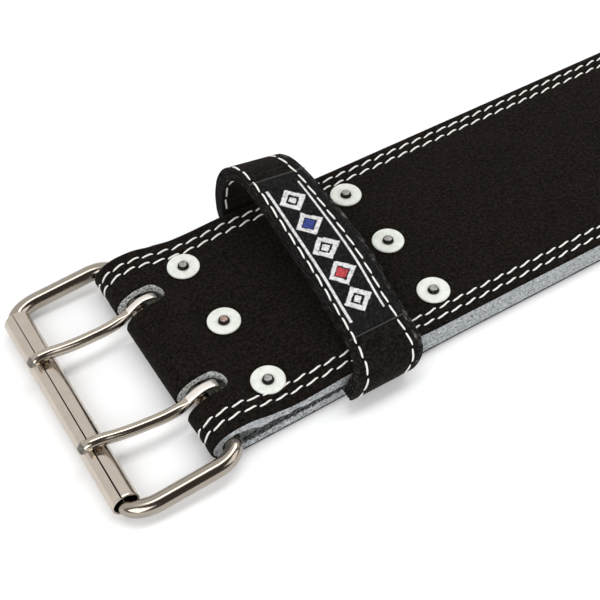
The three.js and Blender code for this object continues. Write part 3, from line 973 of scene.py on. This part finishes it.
def label_colour(u, v, length):
    """Which thread shows at u along the label from its near end and v across it, in millimetres.

    0 is the black ground, 1 white, 2 red and 3 blue: a plain pattern of edge lines and lozenges.
    """
    v -= sum(keeper_seams) / 2
    if min(u, length - u) < label_margin:
        return 0
    if edge_line[0] < abs(v) < edge_line[1]:
        return 1
    count = int((length - 2 * label_margin) // lozenge_pitch)
    start = (length - count * lozenge_pitch) / 2
    number = int((u - start) // lozenge_pitch)
    if not 0 <= number < count:
        return 0
    off_middle = abs((u - start) % lozenge_pitch - lozenge_pitch / 2)
    reach = off_middle / (lozenge_pitch / 2 - lozenge_gap) + abs(v) / lozenge_half_width
    colour = {count // 2 - 1: 2, count // 2 + 1: 3}.get(number, 1)
    heart, ring = white_lozenge if colour == 1 else coloured_lozenge
    return colour if reach < heart else int(ring < reach < 1)


def woven_label():
    """The patch as a fine grid of thread cells that follows the strap, with raised figure threads."""
    stations = [s for s in shown_stations(keeper_stations(label_steps)) if 0 <= label_share(s) <= 1]
    path = [(strap_point(s, 0, s["thickness"] / 2), s["outward"]) for s in stations]
    lengths = resample(path, False)[0]
    length = float(lengths[-1])
    columns, rows = int(2 * label_half / thread_cell), int(length / thread_cell)
    along = [r / rows * length for r in range(rows + 1)]
    across = [mix(-label_half, label_half, c / columns) for c in range(columns + 1)]
    followed = [stations[i] for i in np.searchsorted(lengths, along).clip(0, len(stations) - 1)]
    points, faces, colours = [], [], []
    for r, s in enumerate(followed):
        for c, v in enumerate(across):
            raised = label_colour(along[r], v, length) > 0
            rim = ease(min(c, columns - c) / 2) * ease(min(r, rows - r) / 2)
            out = s["thickness"] / 2 + mix(label_rim_lift, label_lift, rim)
            out -= label_seam_press * seam_press(v, 0.7)
            out += figure_lift * raised
            points.append(strap_point(s, v, out))
    wide = columns + 1
    for r in range(rows):
        for c in range(columns):
            here = r * wide + c
            faces.append((here, here + 1, here + wide + 1, here + wide))
            v = mix(-label_half, label_half, (c + 0.5) / columns)
            colours.append(label_colour((r + 0.5) / rows * length, v, length))
    base, last = len(points), rows * wide
    for s in (followed[0], followed[-1]):
        points += [strap_point(s, v, s["thickness"] / 2 - label_foot) for v in (across[0], across[-1])]
    walls = [
        tuple(range(columns, -1, -1)) + (base, base + 1),
        tuple(range(last, last + wide)) + (base + 3, base + 2),
        tuple(range(0, last + 1, wide)) + (base + 2, base),
        tuple(range(last + columns, 0, -wide)) + (base + 1, base + 3),
        (base, base + 2, base + 3, base + 1),
    ]
    obj = object_from("woven_patch", points, faces + walls)
    obj.data.polygons.foreach_set("material_index", colours + [0] * len(walls))
    return obj


hem_steps = 40
hem_radius = 0.34
hem_end_inset = 0.15
hem_end_dip = 0.3
hem_lift = 0.15
hem_seam_press = 0.25
hem_sides = 8


def label_end_cords():
    """The thin folded hem that closes each end of the label, right across the strap."""
    parts = []
    stations = shown_stations(keeper_stations(label_steps))
    reach = keeper_width / 2 - hem_end_inset
    for share in (0, 1):
        s = min(stations, key=lambda station: abs(label_share(station) - share))
        centres, halves = [], []
        for k in range(hem_steps + 1):
            v = mix(-reach, reach, k / hem_steps)
            dip = hem_end_dip if k in (0, hem_steps) else 0
            out = s["thickness"] / 2 + hem_lift - dip - hem_seam_press * seam_press(v, 0.8)
            centres.append(strap_point(s, v, out))
            thick = hem_radius + 0.08 * wobble((v, share, 0), 2)
            halves.append((thick, thick, 1))
        axes = [(s["along"], s["outward"])] * len(centres)
        parts.append(loft(swept(centres, axes, halves, hem_sides), False))
    return object_from("label_hems", *joined(parts))


# Metal


frame_corner_steps = 24
frame_step = 4
frame_sides = 36


def buckle_frame():
    """The bent wire ring, in its tilted plane."""
    back, front = -frame_back_reach, frame_front_reach - frame_length
    corners = (
        (back, 1, frame_back_reach, 0),
        (front, 1, frame_front_reach, 90),
        (front, -1, frame_front_reach, 180),
        (back, -1, frame_back_reach, 270),
    )
    line = []
    for x, side, reach, start in corners:
        for i in range(frame_corner_steps + 1):
            a = math.radians(start + 90 * i / frame_corner_steps)
            y = side * (frame_width / 2 - frame_corner_round) + frame_corner_round * math.sin(a)
            line.append(Vector((x + reach * math.cos(a), y, 0)))
    dense = []
    for i, point in enumerate(line):
        following = line[(i + 1) % len(line)]
        steps = max(1, int((following - point).length / frame_step))
        dense += [point.lerp(following, k / steps) for k in range(steps)]
    turn = Matrix.Rotation(-frame_tilt, 3, "Y")
    move = Vector((0, frame_offset, bar_height))
    axes = []
    for i in range(len(dense)):
        along = (dense[(i + 1) % len(dense)] - dense[i - 1]).normalized()
        axes.append((turn @ Vector((along.y, -along.x, 0)), turn @ Vector((0, 0, 1))))
    centres = [turn @ point + move for point in dense]
    halves = [(wire_radius, wire_radius, 1)] * len(dense)
    return object_from("frame_wire", *loft(swept(centres, axes, halves, frame_sides), True))


roller_seam_angle = 12
roller_seam_gap = 0.12
roller_seam_depth = 0.3
roller_sides = 96
# Half the seam's opening at the roller's near and far end
roller_seam_shoulder = (0.34, 0.16)
# The tube's rim from its bore to its face, as distances in from its end and radii
roller_rim = (
    (0.3, roller_bore),
    (0, roller_bore + 0.3),
    (0, roller_radius - 0.35),
    (0.12, roller_radius - 0.12),
    (0.4, roller_radius),
    (1.0, roller_radius),
)


def roller_tube():
    """A rolled tube with a butt seam along it and softly turned ends."""
    centre = Vector((front_bar_x, frame_offset + roller_offset, roller_radius))
    half = roller_length / 2
    profile = [(-half + back, radius) for back, radius in roller_rim]
    profile += [(half - back, radius) for back, radius in reversed(roller_rim)]
    rings = []
    for k in range(-1, roller_sides + 2):
        share = min(max(k / roller_sides, 0), 1)
        inner = k in (-1, roller_sides + 1)
        ring = []
        for y, radius in profile:
            on_bore = radius <= roller_bore + 0.3
            open_by = mix(*roller_seam_shoulder, y / roller_length + 0.5)
            half_gap = roller_seam_gap / 2 if inner or on_bore else open_by
            gap = math.degrees(half_gap / roller_radius)
            a = math.radians(roller_seam_angle + gap + (360 - 2 * gap) * share)
            r = radius - (roller_seam_depth if inner and not on_bore else 0)
            ring.append(centre + Vector((-r * math.sin(a), y, r * math.cos(a))))
        rings.append(ring)
    obj = object_from("roller_tube", *loft(rings, False))
    along = len(profile)
    # Faces inside the seam and its end sections get the second material, a dark steel that is painted
    # shade in the seam
    for i, face in enumerate(obj.data.polygons):
        face.material_index = int(i < along or i >= along * (len(rings) - 2))
    return obj


prong_rows = (
    # along, rise, bend, run, full: shares as in the part's source, apart from full, which grows later
    (0.07, 0.8, 0.35, 0, 0),
    (0.126, 0.72, 0.6, 0, 0.2),
    (0.187, 0.665, 0.8, 0, 0.8),
    (0.305, 0.62, 1, 0.12, 1),
    (0.477, 0.6, 1, 0.35, 1),
    (0.63, 0.67, 1, 0.55, 1),
    (0.744, 0.82, 1, 0.7, 1),
    (0.82, 0.95, 1, 0.8, 1),
    (0.878, 1, 1, 0.87, 1),
    (0.93, 0.97, 1, 0.93, 1),
)
# How far each prong's flattened root lies from the solid's, and how wide it is
flat_roots = {
    "prong_far": {"shift": -0.8, "width": 3.3},
    "prong_near": {"shift": -1.2, "width": 4.1},
}
curl_shift = 1.3
curl_squareness = 0.45
flat_section = 0.4
flat_root_thickness = 2.6
flat_root_end = -6.5
worn_tip = 1.6
worn_off = 1.0
curl_steps = 18
prong_steps = 110
prong_sides = 32
# The worn tip and its rounded end: distance back, width and thickness, then size and distance on
prong_tip_rows = ((1.8, 5, 4.1), (0, 4.4, 2.1))
prong_end_rings = ((0.96, 0.25), (0.86, 0.5), (0.6, 0.62))


def prong_line(prong, tip_x):
    """Rows of place, width, thickness and squareness from the curl round the bar to the tip."""
    base = slot_y(prong["side"])
    root, shaft, tip = (base + prong[key] for key in ("root", "shaft", "tip"))
    root_width = flat_roots[prong["name"]]["width"]
    root += flat_roots[prong["name"]]["shift"]
    clear = wire_radius + running_gap + flat_root_thickness / 2
    rest = roller_diameter + running_gap + prong_diameter / 2 - bar_height
    rows = []
    for i in range(curl_steps + 1):
        a = math.radians(mix(curl_start_angle, 90, i / curl_steps))
        x = curl_offset + curl_shift + curl_length / 2 * boxed(math.cos(a), curl_squareness)
        z = clear * boxed(math.sin(a), curl_squareness)
        rows.append((x, root, z, root_width, flat_root_thickness, flat_section))
    for along, rise, bend, run, full in prong_rows:
        y = root + (shaft - root) * bend + (tip - shaft) * run
        width = mix(root_width, prong_diameter, full)
        thick = mix(flat_root_thickness, prong_diameter, full)
        rows.append((tip_x * along, y, rest * rise, width, thick, mix(flat_section, 1, full)))
    for back, width, thick in prong_tip_rows:
        rows.append((tip_x + back, tip, rest + (thick - prong_diameter) / 2, width, thick, 0.9))
    return smooth_open(np.array(rows), prong_steps)


def prong_wire(prong):
    """The wire, with its worn tip in the second material and its root's top in the third, a pale nickel
    that is a painted highlight.
    """
    tip_x = front_bar_x - prong_overhang + worn_off
    rows = prong_line(prong, tip_x)
    centres = [Vector(row[:3]) + Vector((0, 0, bar_height)) for row in rows]
    axes = []
    for i in range(len(centres)):
        along = centres[min(i + 1, len(centres) - 1)] - centres[max(i - 1, 0)]
        along.y = 0
        along.normalize()
        axes.append((Vector((0, 1, 0)), Vector((along.z, 0, -along.x))))
    halves = [(row[3] / 2, row[4] / 2, row[5]) for row in rows]
    rings = swept(centres, axes, halves, prong_sides)
    last, centre = rings[-1], centres[-1]
    step = (centres[-1] - centres[-2]).normalized()
    for share, reach in prong_end_rings:
        rings.append([centre.lerp(p, share) + step * reach for p in last])
    obj = object_from(prong["name"] + "_wire", *loft(rings, False))
    # Upward faces of the flattened root get the pale third material: a painted highlight
    for face in obj.data.polygons:
        if face.center.x > flat_root_end and face.normal.z > 0.5:
            face.material_index = 2
        elif face.center.x < tip_x + worn_tip and face.normal.z > 0.2:
            face.material_index = 1
    return obj


def smooth_open(rows, count):
    """Rows resampled evenly along their length with a smooth curve through them."""
    steps = np.linalg.norm(np.diff(rows[:, :3], axis=0), axis=1)
    lengths = np.concatenate([[0], np.cumsum(steps)])
    slopes = np.gradient(rows, lengths, axis=0)
    result = []
    for s in np.linspace(0, lengths[-1], count):
        i = int(np.clip(np.searchsorted(lengths, s) - 1, 0, len(rows) - 2))
        span = lengths[i + 1] - lengths[i]
        t = (s - lengths[i]) / span
        a, b = 2 * t**3 - 3 * t**2 + 1, t**3 - 2 * t**2 + t
        c, d = -2 * t**3 + 3 * t**2, t**3 - t**2
        result.append(rows[i] * a + slopes[i] * span * b + rows[i + 1] * c + slopes[i + 1] * span * d)
    return result


def turned(profile, middle, sides, rough=0.0, closed=False):
    """A shape turned round an upright axis from a list of radius and height."""
    rings = []
    for radius, height in profile:
        ring = []
        for k in range(sides):
            a = 2 * math.pi * k / sides
            x, y = middle[0] + radius * math.cos(a), middle[1] + radius * math.sin(a)
            point = Vector((x, y, middle[2] + height))
            if rough:
                point += Vector((0, 0, 1)) * rough * wobble(point, 0.9)
                point += Vector((math.cos(a), math.sin(a), 0)) * rough * wobble(point, 1.3, 4.0)
            ring.append(point)
        rings.append(ring)
    return loft(rings, closed)


rivet_sides = 48
rivet_dents = 0.12
washer_sides = 72


def rivet(name, x, y):
    """Head under the belt, shank through it and a peened end above the washer."""
    shank = rivet_diameter / 2
    head = rivet_head_diameter / 2
    washer_top = top_height(x) + layer_gap + washer_thickness
    end = washer_top + rivet_stand_proud
    profile = (
        (head - 1.6, 0.0),
        (head - 0.4, 0.1),
        (head, 0.4),
        (head, facing_thickness),
        (shank, facing_thickness),
        (shank, washer_top - 0.1),
        (shank + 0.1, washer_top + 0.25),
        (shank - 0.1, end - 0.55),
        (shank - 0.45, end - 0.2),
        (shank - 0.7, end - 0.06),
        (shank - 1.2, end),
        (shank - 1.8, end - 0.05),
    )
    obj = object_from("peened_rivet_" + name, *turned(profile, (x, y, 0), rivet_sides, rivet_dents))
    for vert in obj.data.vertices:
        vert.co.z = min(max(vert.co.z, 0), end)
    # The rim round the peened end gets the near-black second material: painted shade round the end
    for face in obj.data.polygons:
        reach = math.hypot(face.center.x - x, face.center.y - y)
        face.material_index = int(reach > shank - 0.55 and face.center.z > washer_top - 0.2)
    return obj


def washer(name, x, y):
    """A pressed ring: turned-down rim, flat face and a shallow dish round the rivet."""
    hole = rivet_diameter / 2 + layer_gap
    r, t = washer_radius, washer_thickness
    profile = (
        (hole, 0.05),
        (r - 0.5, 0.0),
        (r - 0.1, 0.04),
        (r, 0.22),
        (r, t * 0.55),
        (r - 0.12, t * 0.8),
        (r - 0.4, t * 0.97),
        (r - 0.9, t),
        (r - 1.8, t * 0.94),
        (hole + 1.6, t * 0.92),
        (hole + 0.9, t * 0.74),
        (hole + 0.15, t * 0.6),
        (hole, t * 0.45),
    )
    middle = (x, y, top_height(x) + layer_gap)
    return object_from("pressed_washer_" + name, *turned(profile, middle, washer_sides, closed=True))


# Materials


def new_material(name):
    """A material with its node tree, and its shader node."""
    material = bpy.data.materials.new(name)
    material.use_nodes = True
    return material, material.node_tree, material.node_tree.nodes["Principled BSDF"]


def fill(tree, target, inputs):
    """Gives a node's inputs their values, or their links where the value is another node's output."""
    for key, value in inputs.items():
        if isinstance(value, bpy.types.NodeSocket):
            tree.links.new(value, target.inputs[key])
        else:
            target.inputs[key].default_value = value


def node(tree, kind, settings, inputs):
    """A new node with its settings and inputs."""
    made = tree.nodes.new(kind)
    for key, value in settings.items():
        setattr(made, key, value)
    fill(tree, made, inputs)
    return made


def place(tree, stretch=(1, 1, 1)):
    """Object coordinates in millimetres, stretched if the pattern is."""
    coordinates = node(tree, "ShaderNodeTexCoord", {}, {}).outputs["Object"]
    inputs = {"Vector": coordinates, "Scale": tuple(1000 * s for s in stretch)}
    return node(tree, "ShaderNodeMapping", {}, inputs).outputs["Vector"]


def speckle(tree, vector, size, detail=4.0, rough=0.6):
    """Noise of the given size in millimetres."""
    inputs = {"Vector": vector, "Scale": 1 / size, "Detail": detail, "Roughness": rough}
    return node(tree, "ShaderNodeTexNoise", {}, inputs).outputs["Fac"]


def ramp(tree, value, stops):
    """Colours that follow a value, given as places and colours."""
    made = node(tree, "ShaderNodeValToRGB", {}, {"Fac": value})
    elements = made.color_ramp.elements
    while len(elements) < len(stops):
        elements.new(0.5)
    for element, (at, colour) in zip(elements, stops):
        element.position = at
        element.color = (*colour, 1)
    return made.outputs["Color"]


def grey(value):
    return (value, value, value)


def shaded(colour, share):
    return tuple(share * c for c in colour)


def mask(tree, value, low, high, start=0, end=1):
    """A share that goes from start to end while the value goes from low to high."""
    return ramp(tree, value, ((low, grey(start)), (high, grey(end))))


def blend(tree, share, a, b, mode="MIX"):
    """Colour a with a share of colour b."""
    a, b = (c if isinstance(c, bpy.types.NodeSocket) else (*c, 1) for c in (a, b))
    settings = {"data_type": "RGBA", "blend_type": mode}
    return node(tree, "ShaderNodeMix", settings, {0: share, 6: a, 7: b}).outputs[2]


def bump(tree, height, strength, distance):
    """Surface relief for a shader's normal, with its depth in millimetres."""
    inputs = {"Height": height, "Strength": strength, "Distance": distance / 1000}
    return node(tree, "ShaderNodeBump", {}, inputs).outputs["Normal"]


def add(tree, a, b, share):
    """a plus b times share."""
    return node(tree, "ShaderNodeMath", {"operation": "MULTIPLY_ADD"}, {0: b, 1: share, 2: a}).outputs[0]


def span(tree, value, low, high):
    """A value's place between two others, from 0 to 1."""
    inputs = {"Value": value, "From Min": low, "From Max": high}
    return node(tree, "ShaderNodeMapRange", {}, inputs).outputs["Result"]


def marked(tree, name):
    """A share that the mesh carries under this name."""
    return node(tree, "ShaderNodeAttribute", {"attribute_name": name}, {}).outputs["Fac"]


def suede_material(name, dark, light, dust):
    """Brushed suede: short nap in tufts, cloudy shading and a little dust."""
    material, tree, shader = new_material(name)
    spot = place(tree)
    clouds = speckle(tree, spot, 14, 5)
    tufts = speckle(tree, spot, 1.3, 5, 0.7)
    nap = speckle(tree, spot, 0.4, 4, 0.7)
    grains = speckle(tree, spot, 1.0, 1, 0.4)
    base = blend(tree, mask(tree, clouds, 0.35, 0.65), dark, light)
    base = blend(tree, mask(tree, tufts, 0.45, 0.7), base, shaded(light, 3.2))
    base = blend(tree, mask(tree, tufts, 0.3, 0.47, 0.85, 0), base, shaded(dark, 0.3))
    fill(tree, shader, {
        "Base Color": blend(tree, mask(tree, grains, 0.775, 0.82, 0, dust), base, (0.13, 0.12, 0.11)),
        "Roughness": 1.0,
        "Specular IOR Level": 0.05,
        "Sheen Weight": 0.07,
        "Sheen Roughness": 0.35,
        "Sheen Tint": (0.6, 0.5, 0.44, 1),
        "Normal": bump(tree, add(tree, tufts, nap, 0.5), 0.9, 0.6),
    })
    return material


def ply_edge_material(name, scuffs):
    """The strap's cut edges: dark plies with paler dry lines along them and pale scuffs."""
    material, tree, shader = new_material(name)
    lines = speckle(tree, place(tree, (1, 0.1, 1)), 0.55, 3)
    fuzz = speckle(tree, place(tree), 1.0, 4, 0.7)
    patches = speckle(tree, place(tree, (1, 0.3, 1)), 2.4, 5, 0.75)
    plies = (
        (0.38, (0.0035, 0.003, 0.0028)),
        (0.52, (0.008, 0.0072, 0.0068)),
        (0.7, (0.065, 0.06, 0.058)),
    )
    pale = mask(tree, patches, 0.66 - scuffs, 0.8 - scuffs, 0, 0.85)
    fill(tree, shader, {
        "Base Color": blend(tree, pale, ramp(tree, lines, plies), (0.2, 0.19, 0.185)),
        "Roughness": 0.95,
        "Specular IOR Level": 0.1,
        "Normal": bump(tree, add(tree, lines, fuzz, 0.6), 0.8, 0.5),
    })
    return material


def core_material():
    """Grey split leather: pale fibres with dark specks, painted shade with dark fibre in the torn seam,
    and painted light on the slot walls.
    """
    material, tree, shader = new_material("grey_fibrous_leather")
    spot = place(tree)
    fibres = speckle(tree, place(tree, (0.6, 1, 1)), 0.8, 6, 0.75)
    clouds = speckle(tree, spot, 6, 4)
    shades = ((0.36, (0.09, 0.096, 0.1)), (0.48, (0.4, 0.425, 0.44)), (0.62, (0.66, 0.69, 0.71)))
    base = ramp(tree, fibres, shades)
    base = blend(tree, mask(tree, clouds, 0.35, 0.6, 0.35, 0), base, (0.3, 0.32, 0.335))
    specks = mask(tree, speckle(tree, spot, 0.9, 3, 0.6), 0.36, 0.42, 0.9, 0)
    base = blend(tree, specks, base, (0.05, 0.053, 0.056))
    # Painted shade in the torn seam's recess between the plies, broken up by dark fibre
    ragged = add(tree, marked(tree, "seam"), speckle(tree, spot, 1.2, 5, 0.75), 2.2)
    seam_shade_colours = ((0.44, (0.004, 0.004, 0.004)), (0.66, (0.16, 0.17, 0.165)))
    seam_shade = ramp(tree, speckle(tree, spot, 0.9, 5, 0.75), seam_shade_colours)
    base = blend(tree, mask(tree, span(tree, ragged, 1.0, 2.2), 0.36, 0.46), base, seam_shade)
    # Painted light: the slot walls get a paler copy of the grey leather, with dark specks, to lift the
    # shade in the slots
    wall_painted_light_colours = ((0.36, (0.06, 0.063, 0.06)), (0.46, (0.42, 0.44, 0.43)), (0.64, (0.95, 0.97, 0.95)))
    wall = ramp(tree, speckle(tree, spot, 1.0, 4, 0.7), wall_painted_light_colours)
    fill(tree, shader, {
        "Base Color": blend(tree, marked(tree, "cut_wall"), base, wall),
        "Roughness": 0.9,
        "Specular IOR Level": 0.2,
        "Normal": bump(tree, add(tree, fibres, clouds, 0.5), 0.9, 0.6),
    })
    return material


def fibre_material():
    """The torn fibre inside the fold: pale fibre streaks on a dark ground that is painted shade of the
    split.
    """
    material, tree, shader = new_material("torn_fibre_painted_shade")
    threads = speckle(tree, place(tree, (0.5, 1, 1)), 0.7, 6, 0.75)
    # The dark shades are painted shade in the split between the plies; the pale one is fibre
    shades = ((0.35, (0.02, 0.022, 0.02)), (0.52, (0.08, 0.086, 0.082)), (0.68, (0.34, 0.36, 0.35)))
    fill(tree, shader, {
        "Base Color": ramp(tree, threads, shades),
        "Roughness": 0.95,
        "Normal": bump(tree, threads, 1.0, 0.6),
    })
    return material


thread_twist = 0.9


def thread_material(name, colour):
    """Twisted thread."""
    material, tree, shader = new_material(name)
    spot = place(tree)
    inputs = {"Vector": spot, "Rotation": (0.3, 0.4, 0.8)}
    slanted = node(tree, "ShaderNodeMapping", {}, inputs).outputs["Vector"]
    inputs = {"Vector": slanted, "Scale": 1 / thread_twist, "Distortion": 1.0}
    twist = node(tree, "ShaderNodeTexWave", {"wave_type": "BANDS"}, inputs).outputs["Fac"]
    fuzz = speckle(tree, spot, 0.4, 4)
    darker = shaded(colour, 0.72)
    base = blend(tree, mask(tree, twist, 0.1, 0.6, 0.5, 0), colour, darker)
    fill(tree, shader, {
        "Base Color": blend(tree, mask(tree, fuzz, 0.3, 0.5, 0.3, 0), base, darker),
        "Roughness": 0.6,
        "Sheen Weight": 0.2,
        "Normal": bump(tree, twist, 0.5, 0.12),
    })
    return material


def woven_material(name, colour, gloss, sheen):
    """Fine woven yarn, ribbed both ways."""
    material, tree, shader = new_material(name)
    settings = {"wave_type": "BANDS", "bands_direction": "DIAGONAL"}
    ribs = []
    for stretch in ((0, 1, 0.6), (1, 0, 0)):
        inputs = {"Vector": place(tree, stretch), "Scale": 1.15, "Distortion": 0.4}
        ribs.append(node(tree, "ShaderNodeTexWave", settings, inputs).outputs["Fac"])
    fuzz = speckle(tree, place(tree), 1.3, 5, 0.75)
    pale = tuple(c + 0.35 * (0.05 if c < 0.1 else 1 - c) for c in colour)
    fill(tree, shader, {
        "Base Color": ramp(tree, fuzz, ((0.36, shaded(colour, 0.55)), (0.5, colour), (0.64, pale))),
        "Roughness": gloss,
        "Specular IOR Level": 0.1,
        "Sheen Weight": sheen,
        "Normal": bump(tree, add(tree, ribs[0], ribs[1], 0.6), 0.45, 0.12),
    })
    return material


def nickel_material(name, stretch, colour, rough):
    """Plated steel: warm and softly glossy, with fine drawing lines."""
    material, tree, shader = new_material(name)
    patches = speckle(tree, place(tree), 7, 4)
    lines = speckle(tree, place(tree, stretch), 0.5, 4)
    share = add(tree, mask(tree, patches, 0.35, 0.75, 0, 0.35), lines, 0.3)
    fill(tree, shader, {
        "Base Color": blend(tree, share, colour, shaded(colour, 0.72)),
        "Metallic": 1.0,
        "Roughness": add(tree, mask(tree, patches, 0.3, 0.8, rough * 0.7, rough), lines, 0.04),
        "Normal": bump(tree, lines, 0.05, 0.1),
    })
    return material


def washer_material():
    """Ivory painted steel with faint blotches."""
    material, tree, shader = new_material("ivory_paint")
    clouds = speckle(tree, place(tree), 3.0, 4)
    fill(tree, shader, {
        "Base Color": ramp(tree, clouds, ((0.3, (0.61, 0.635, 0.57)), (0.6, (0.74, 0.765, 0.715)))),
        "Roughness": 0.38,
        "Normal": bump(tree, clouds, 0.2, 0.2),
    })
    return material


def rivet_material(name, colour):
    """Hammered dark steel."""
    material, tree, shader = new_material(name)
    dents = speckle(tree, place(tree), 1.1, 3)
    fill(tree, shader, {
        "Base Color": ramp(tree, dents, ((0.3, shaded(colour, 0.35)), (0.7, colour))),
        "Metallic": 1.0,
        "Roughness": 0.38,
        "Normal": bump(tree, dents, 0.7, 0.4),
    })
    return material


suede = suede_material("black_suede_nap", (0.0042, 0.0032, 0.0026), (0.0066, 0.0051, 0.0042), 0.35)
keeper_suede = suede_material("keeper_suede_nap", (0.0046, 0.0038, 0.0034), (0.0072, 0.006, 0.0054), 0.4)
strap_edge = ply_edge_material("strap_edge", 0.0)
scuffed_edge = ply_edge_material("scuffed_strap_edge", 0.12)
grey_leather = core_material()
thread = thread_material("off_white_thread", (0.9, 0.885, 0.85))
hem_thread = thread_material("hem_thread", (0.014, 0.013, 0.013))
# One plating in three tones: the frame's darker base is painted shade and the roller's paler base is
# painted light
nickel = nickel_material("frame_nickel_painted_shade", (0.1, 1, 1), (0.38, 0.335, 0.285), 0.16)
prong_nickel = nickel_material("prong_nickel", (0.1, 1, 1), (0.47, 0.415, 0.35), 0.17)
rolled_nickel_painted_light = nickel_material("rolled_nickel_painted_light", (1, 0.03, 1), (0.58, 0.515, 0.445), 0.2)
# Pale nickel for the prong roots' tops: a painted highlight
root_top_painted_highlight = nickel_material("root_top_painted_highlight", (0.6, 1, 1), (0.86, 0.8, 0.74), 0.34)
worn_steel = rivet_material("worn_steel", (0.25, 0.235, 0.215))
# Dark steel for the roller's seam: painted shade in the seam's crease
seam_painted_shade = rivet_material("seam_painted_shade", (0.2, 0.18, 0.155))
label_threads = [
    woven_material("label_black_yarn", (0.0062, 0.0056, 0.0062), 0.95, 0.02),
    woven_material("label_white_yarn", (0.66, 0.65, 0.66), 0.7, 0.1),
    woven_material("label_red_yarn", (0.42, 0.05, 0.06), 0.6, 0.1),
    woven_material("label_blue_yarn", (0.03, 0.05, 0.2), 0.6, 0.1),
]

# Pieces

place_piece(suede_facing(), "belt", [suede], ["suede_facing"])
place_piece(leather_core(), "belt", [grey_leather], ["leather_core"])
fibres = object_from("split_fibres", *joined([split_fibres(1), split_fibres(-1)]))
place_piece(fibres, "belt", [fibre_material()])

above, below = belt_stitches()
place_piece(object_from("stitches_upper", *joined(above)), "belt", [thread])
place_piece(object_from("stitches_underside", *joined(below)), "belt", [thread])

strap_materials = [keeper_suede, strap_edge, scuffed_edge]
place_piece(keeper_loop(), "belt", strap_materials, ["keeper_loop"])
place_piece(keeper_stitches(), "belt", [thread])
place_piece(woven_label(), "belt", label_threads, ["keeper_label"])
place_piece(label_end_cords(), "belt", [hem_thread])

dark_steel = rivet_material("peened_steel", (0.42, 0.41, 0.4))
copper_steel = rivet_material("peened_copper_steel", (0.5, 0.34, 0.3))
# Near-black steel for the rivet ends' rims: painted shade
rivet_rim_painted_shade = rivet_material("rivet_rim_painted_shade", (0.035, 0.033, 0.03))
ivory = washer_material()
for name, x, y in rivet_places():
    steel = copper_steel if name == "buckle_row_mid" else dark_steel
    place_piece(rivet(name, x, y), "belt", [steel, rivet_rim_painted_shade], ["rivet_" + name])
    place_piece(washer(name, x, y), "belt", [ivory], ["washer_" + name])

place_piece(buckle_frame(), "frame", [nickel], ["buckle_frame"])
place_piece(roller_tube(), "roller", [rolled_nickel_painted_light, seam_painted_shade], ["roller"])
for prong in prongs:
    materials = [prong_nickel, worn_steel, root_top_painted_highlight]
    place_piece(prong_wire(prong), prong["name"], materials, [prong["name"]])

# Stage, light and camera

camera_place = (-0.60703, -0.28268, 0.38902)
camera_azimuth = -30.427
camera_elevation = 49.684
camera_roll = -1.562
camera_lens = 70.55
floor_half = 6
floor_drop = 0.0002
room_pale = (0.85, 0.845, 0.84)
room_dark = (0.06, 0.052, 0.045)
room_strength = 1.13
focus = (-0.42, 0.0, 0.0)
lights = (
    # name, place, aim, sizes, watts: the first size runs along the belt
    ("key", (0.1, 0.13, 1.35), (0.0, 0.1, 0.0), (1.6, 0.42), 8),
    ("left_fill", (-1.38, -0.96, 0.85), focus, (1.1, 1.1), 14),
    ("right_fill", (0.54, -0.96, 0.85), focus, (1.1, 1.1), 6.5),
)


def add_camera():
    data = bpy.data.cameras.new("camera")
    data.sensor_width = 36
    data.lens = camera_lens
    data.clip_start, data.clip_end = 0.01, 20
    obj = linked("camera", data)
    a, e, r = (math.radians(v) for v in (camera_azimuth, camera_elevation, camera_roll))
    back = Vector((math.sin(a) * math.cos(e), -math.cos(a) * math.cos(e), math.sin(e)))
    right = Vector((math.cos(a), math.sin(a), 0))
    up = back.cross(right)
    across = right * math.cos(r) + up * math.sin(r)
    upward = up * math.cos(r) - right * math.sin(r)
    turn = Matrix((across, upward, back)).transposed().to_4x4()
    obj.matrix_world = Matrix.Translation(camera_place) @ turn
    scene.camera = obj


def add_floor():
    """A pale floor just under the belt, so that its underside doesn't share a height with it."""
    mesh = bpy.data.meshes.new("floor")
    corners = [(x * floor_half, y * floor_half, 0) for x, y in ((-1, -1), (1, -1), (1, 1), (-1, 1))]
    mesh.from_pydata(corners, [], [(0, 1, 2, 3)])
    floor = linked("floor", mesh)
    floor.location.z = -floor_drop
    material, tree, shader = new_material("pale_floor")
    fill(tree, shader, {
        "Base Color": (0.93, 0.937, 0.945, 1),
        "Emission Color": (1, 1, 1, 1),
        "Emission Strength": 0.06,
        "Roughness": 0.9,
        "Specular IOR Level": 0.1,
    })
    mesh.materials.append(material)


def add_light(name, place_at, aim, size, power):
    """A soft box whose first size runs along the belt."""
    data = bpy.data.lights.new(name, "AREA")
    data.shape = "RECTANGLE"
    data.size, data.size_y = size
    data.energy = power
    obj = linked(name, data)
    back = (Vector(place_at) - Vector(aim)).normalized()
    side = Vector((0, 1, 0)).cross(back).normalized()
    axes = Matrix((side, back.cross(side), back)).transposed().to_4x4()
    obj.matrix_world = Matrix.Translation(place_at) @ axes


def add_world():
    """A pale room with a dark stretch above the camera's side, which the metal mirrors."""
    world = bpy.data.worlds.new("room")
    scene.world = world
    world.use_nodes = True
    tree = world.node_tree
    direction = node(tree, "ShaderNodeTexCoord", {}, {}).outputs["Generated"]
    parts = node(tree, "ShaderNodeSeparateXYZ", {}, {"Vector": direction}).outputs
    front_shades = ((0.0, grey(1)), (0.6, grey(0.93)), (1.0, grey(0)))
    front = ramp(tree, span(tree, parts["Y"], -0.4, 0.0), front_shades)
    dark = blend(tree, 1.0, front, mask(tree, parts["Z"], 0.06, 0.2, 0.3, 1), "MULTIPLY")
    background = tree.nodes["Background"]
    fill(tree, background, {"Color": blend(tree, dark, room_pale, room_dark), "Strength": room_strength})


add_camera()
add_floor()
add_world()
for light in lights:
    add_light(*light)

scene.view_settings.view_transform = "Standard"
scene.view_settings.look = "None"
scene.view_settings.exposure = 0.0
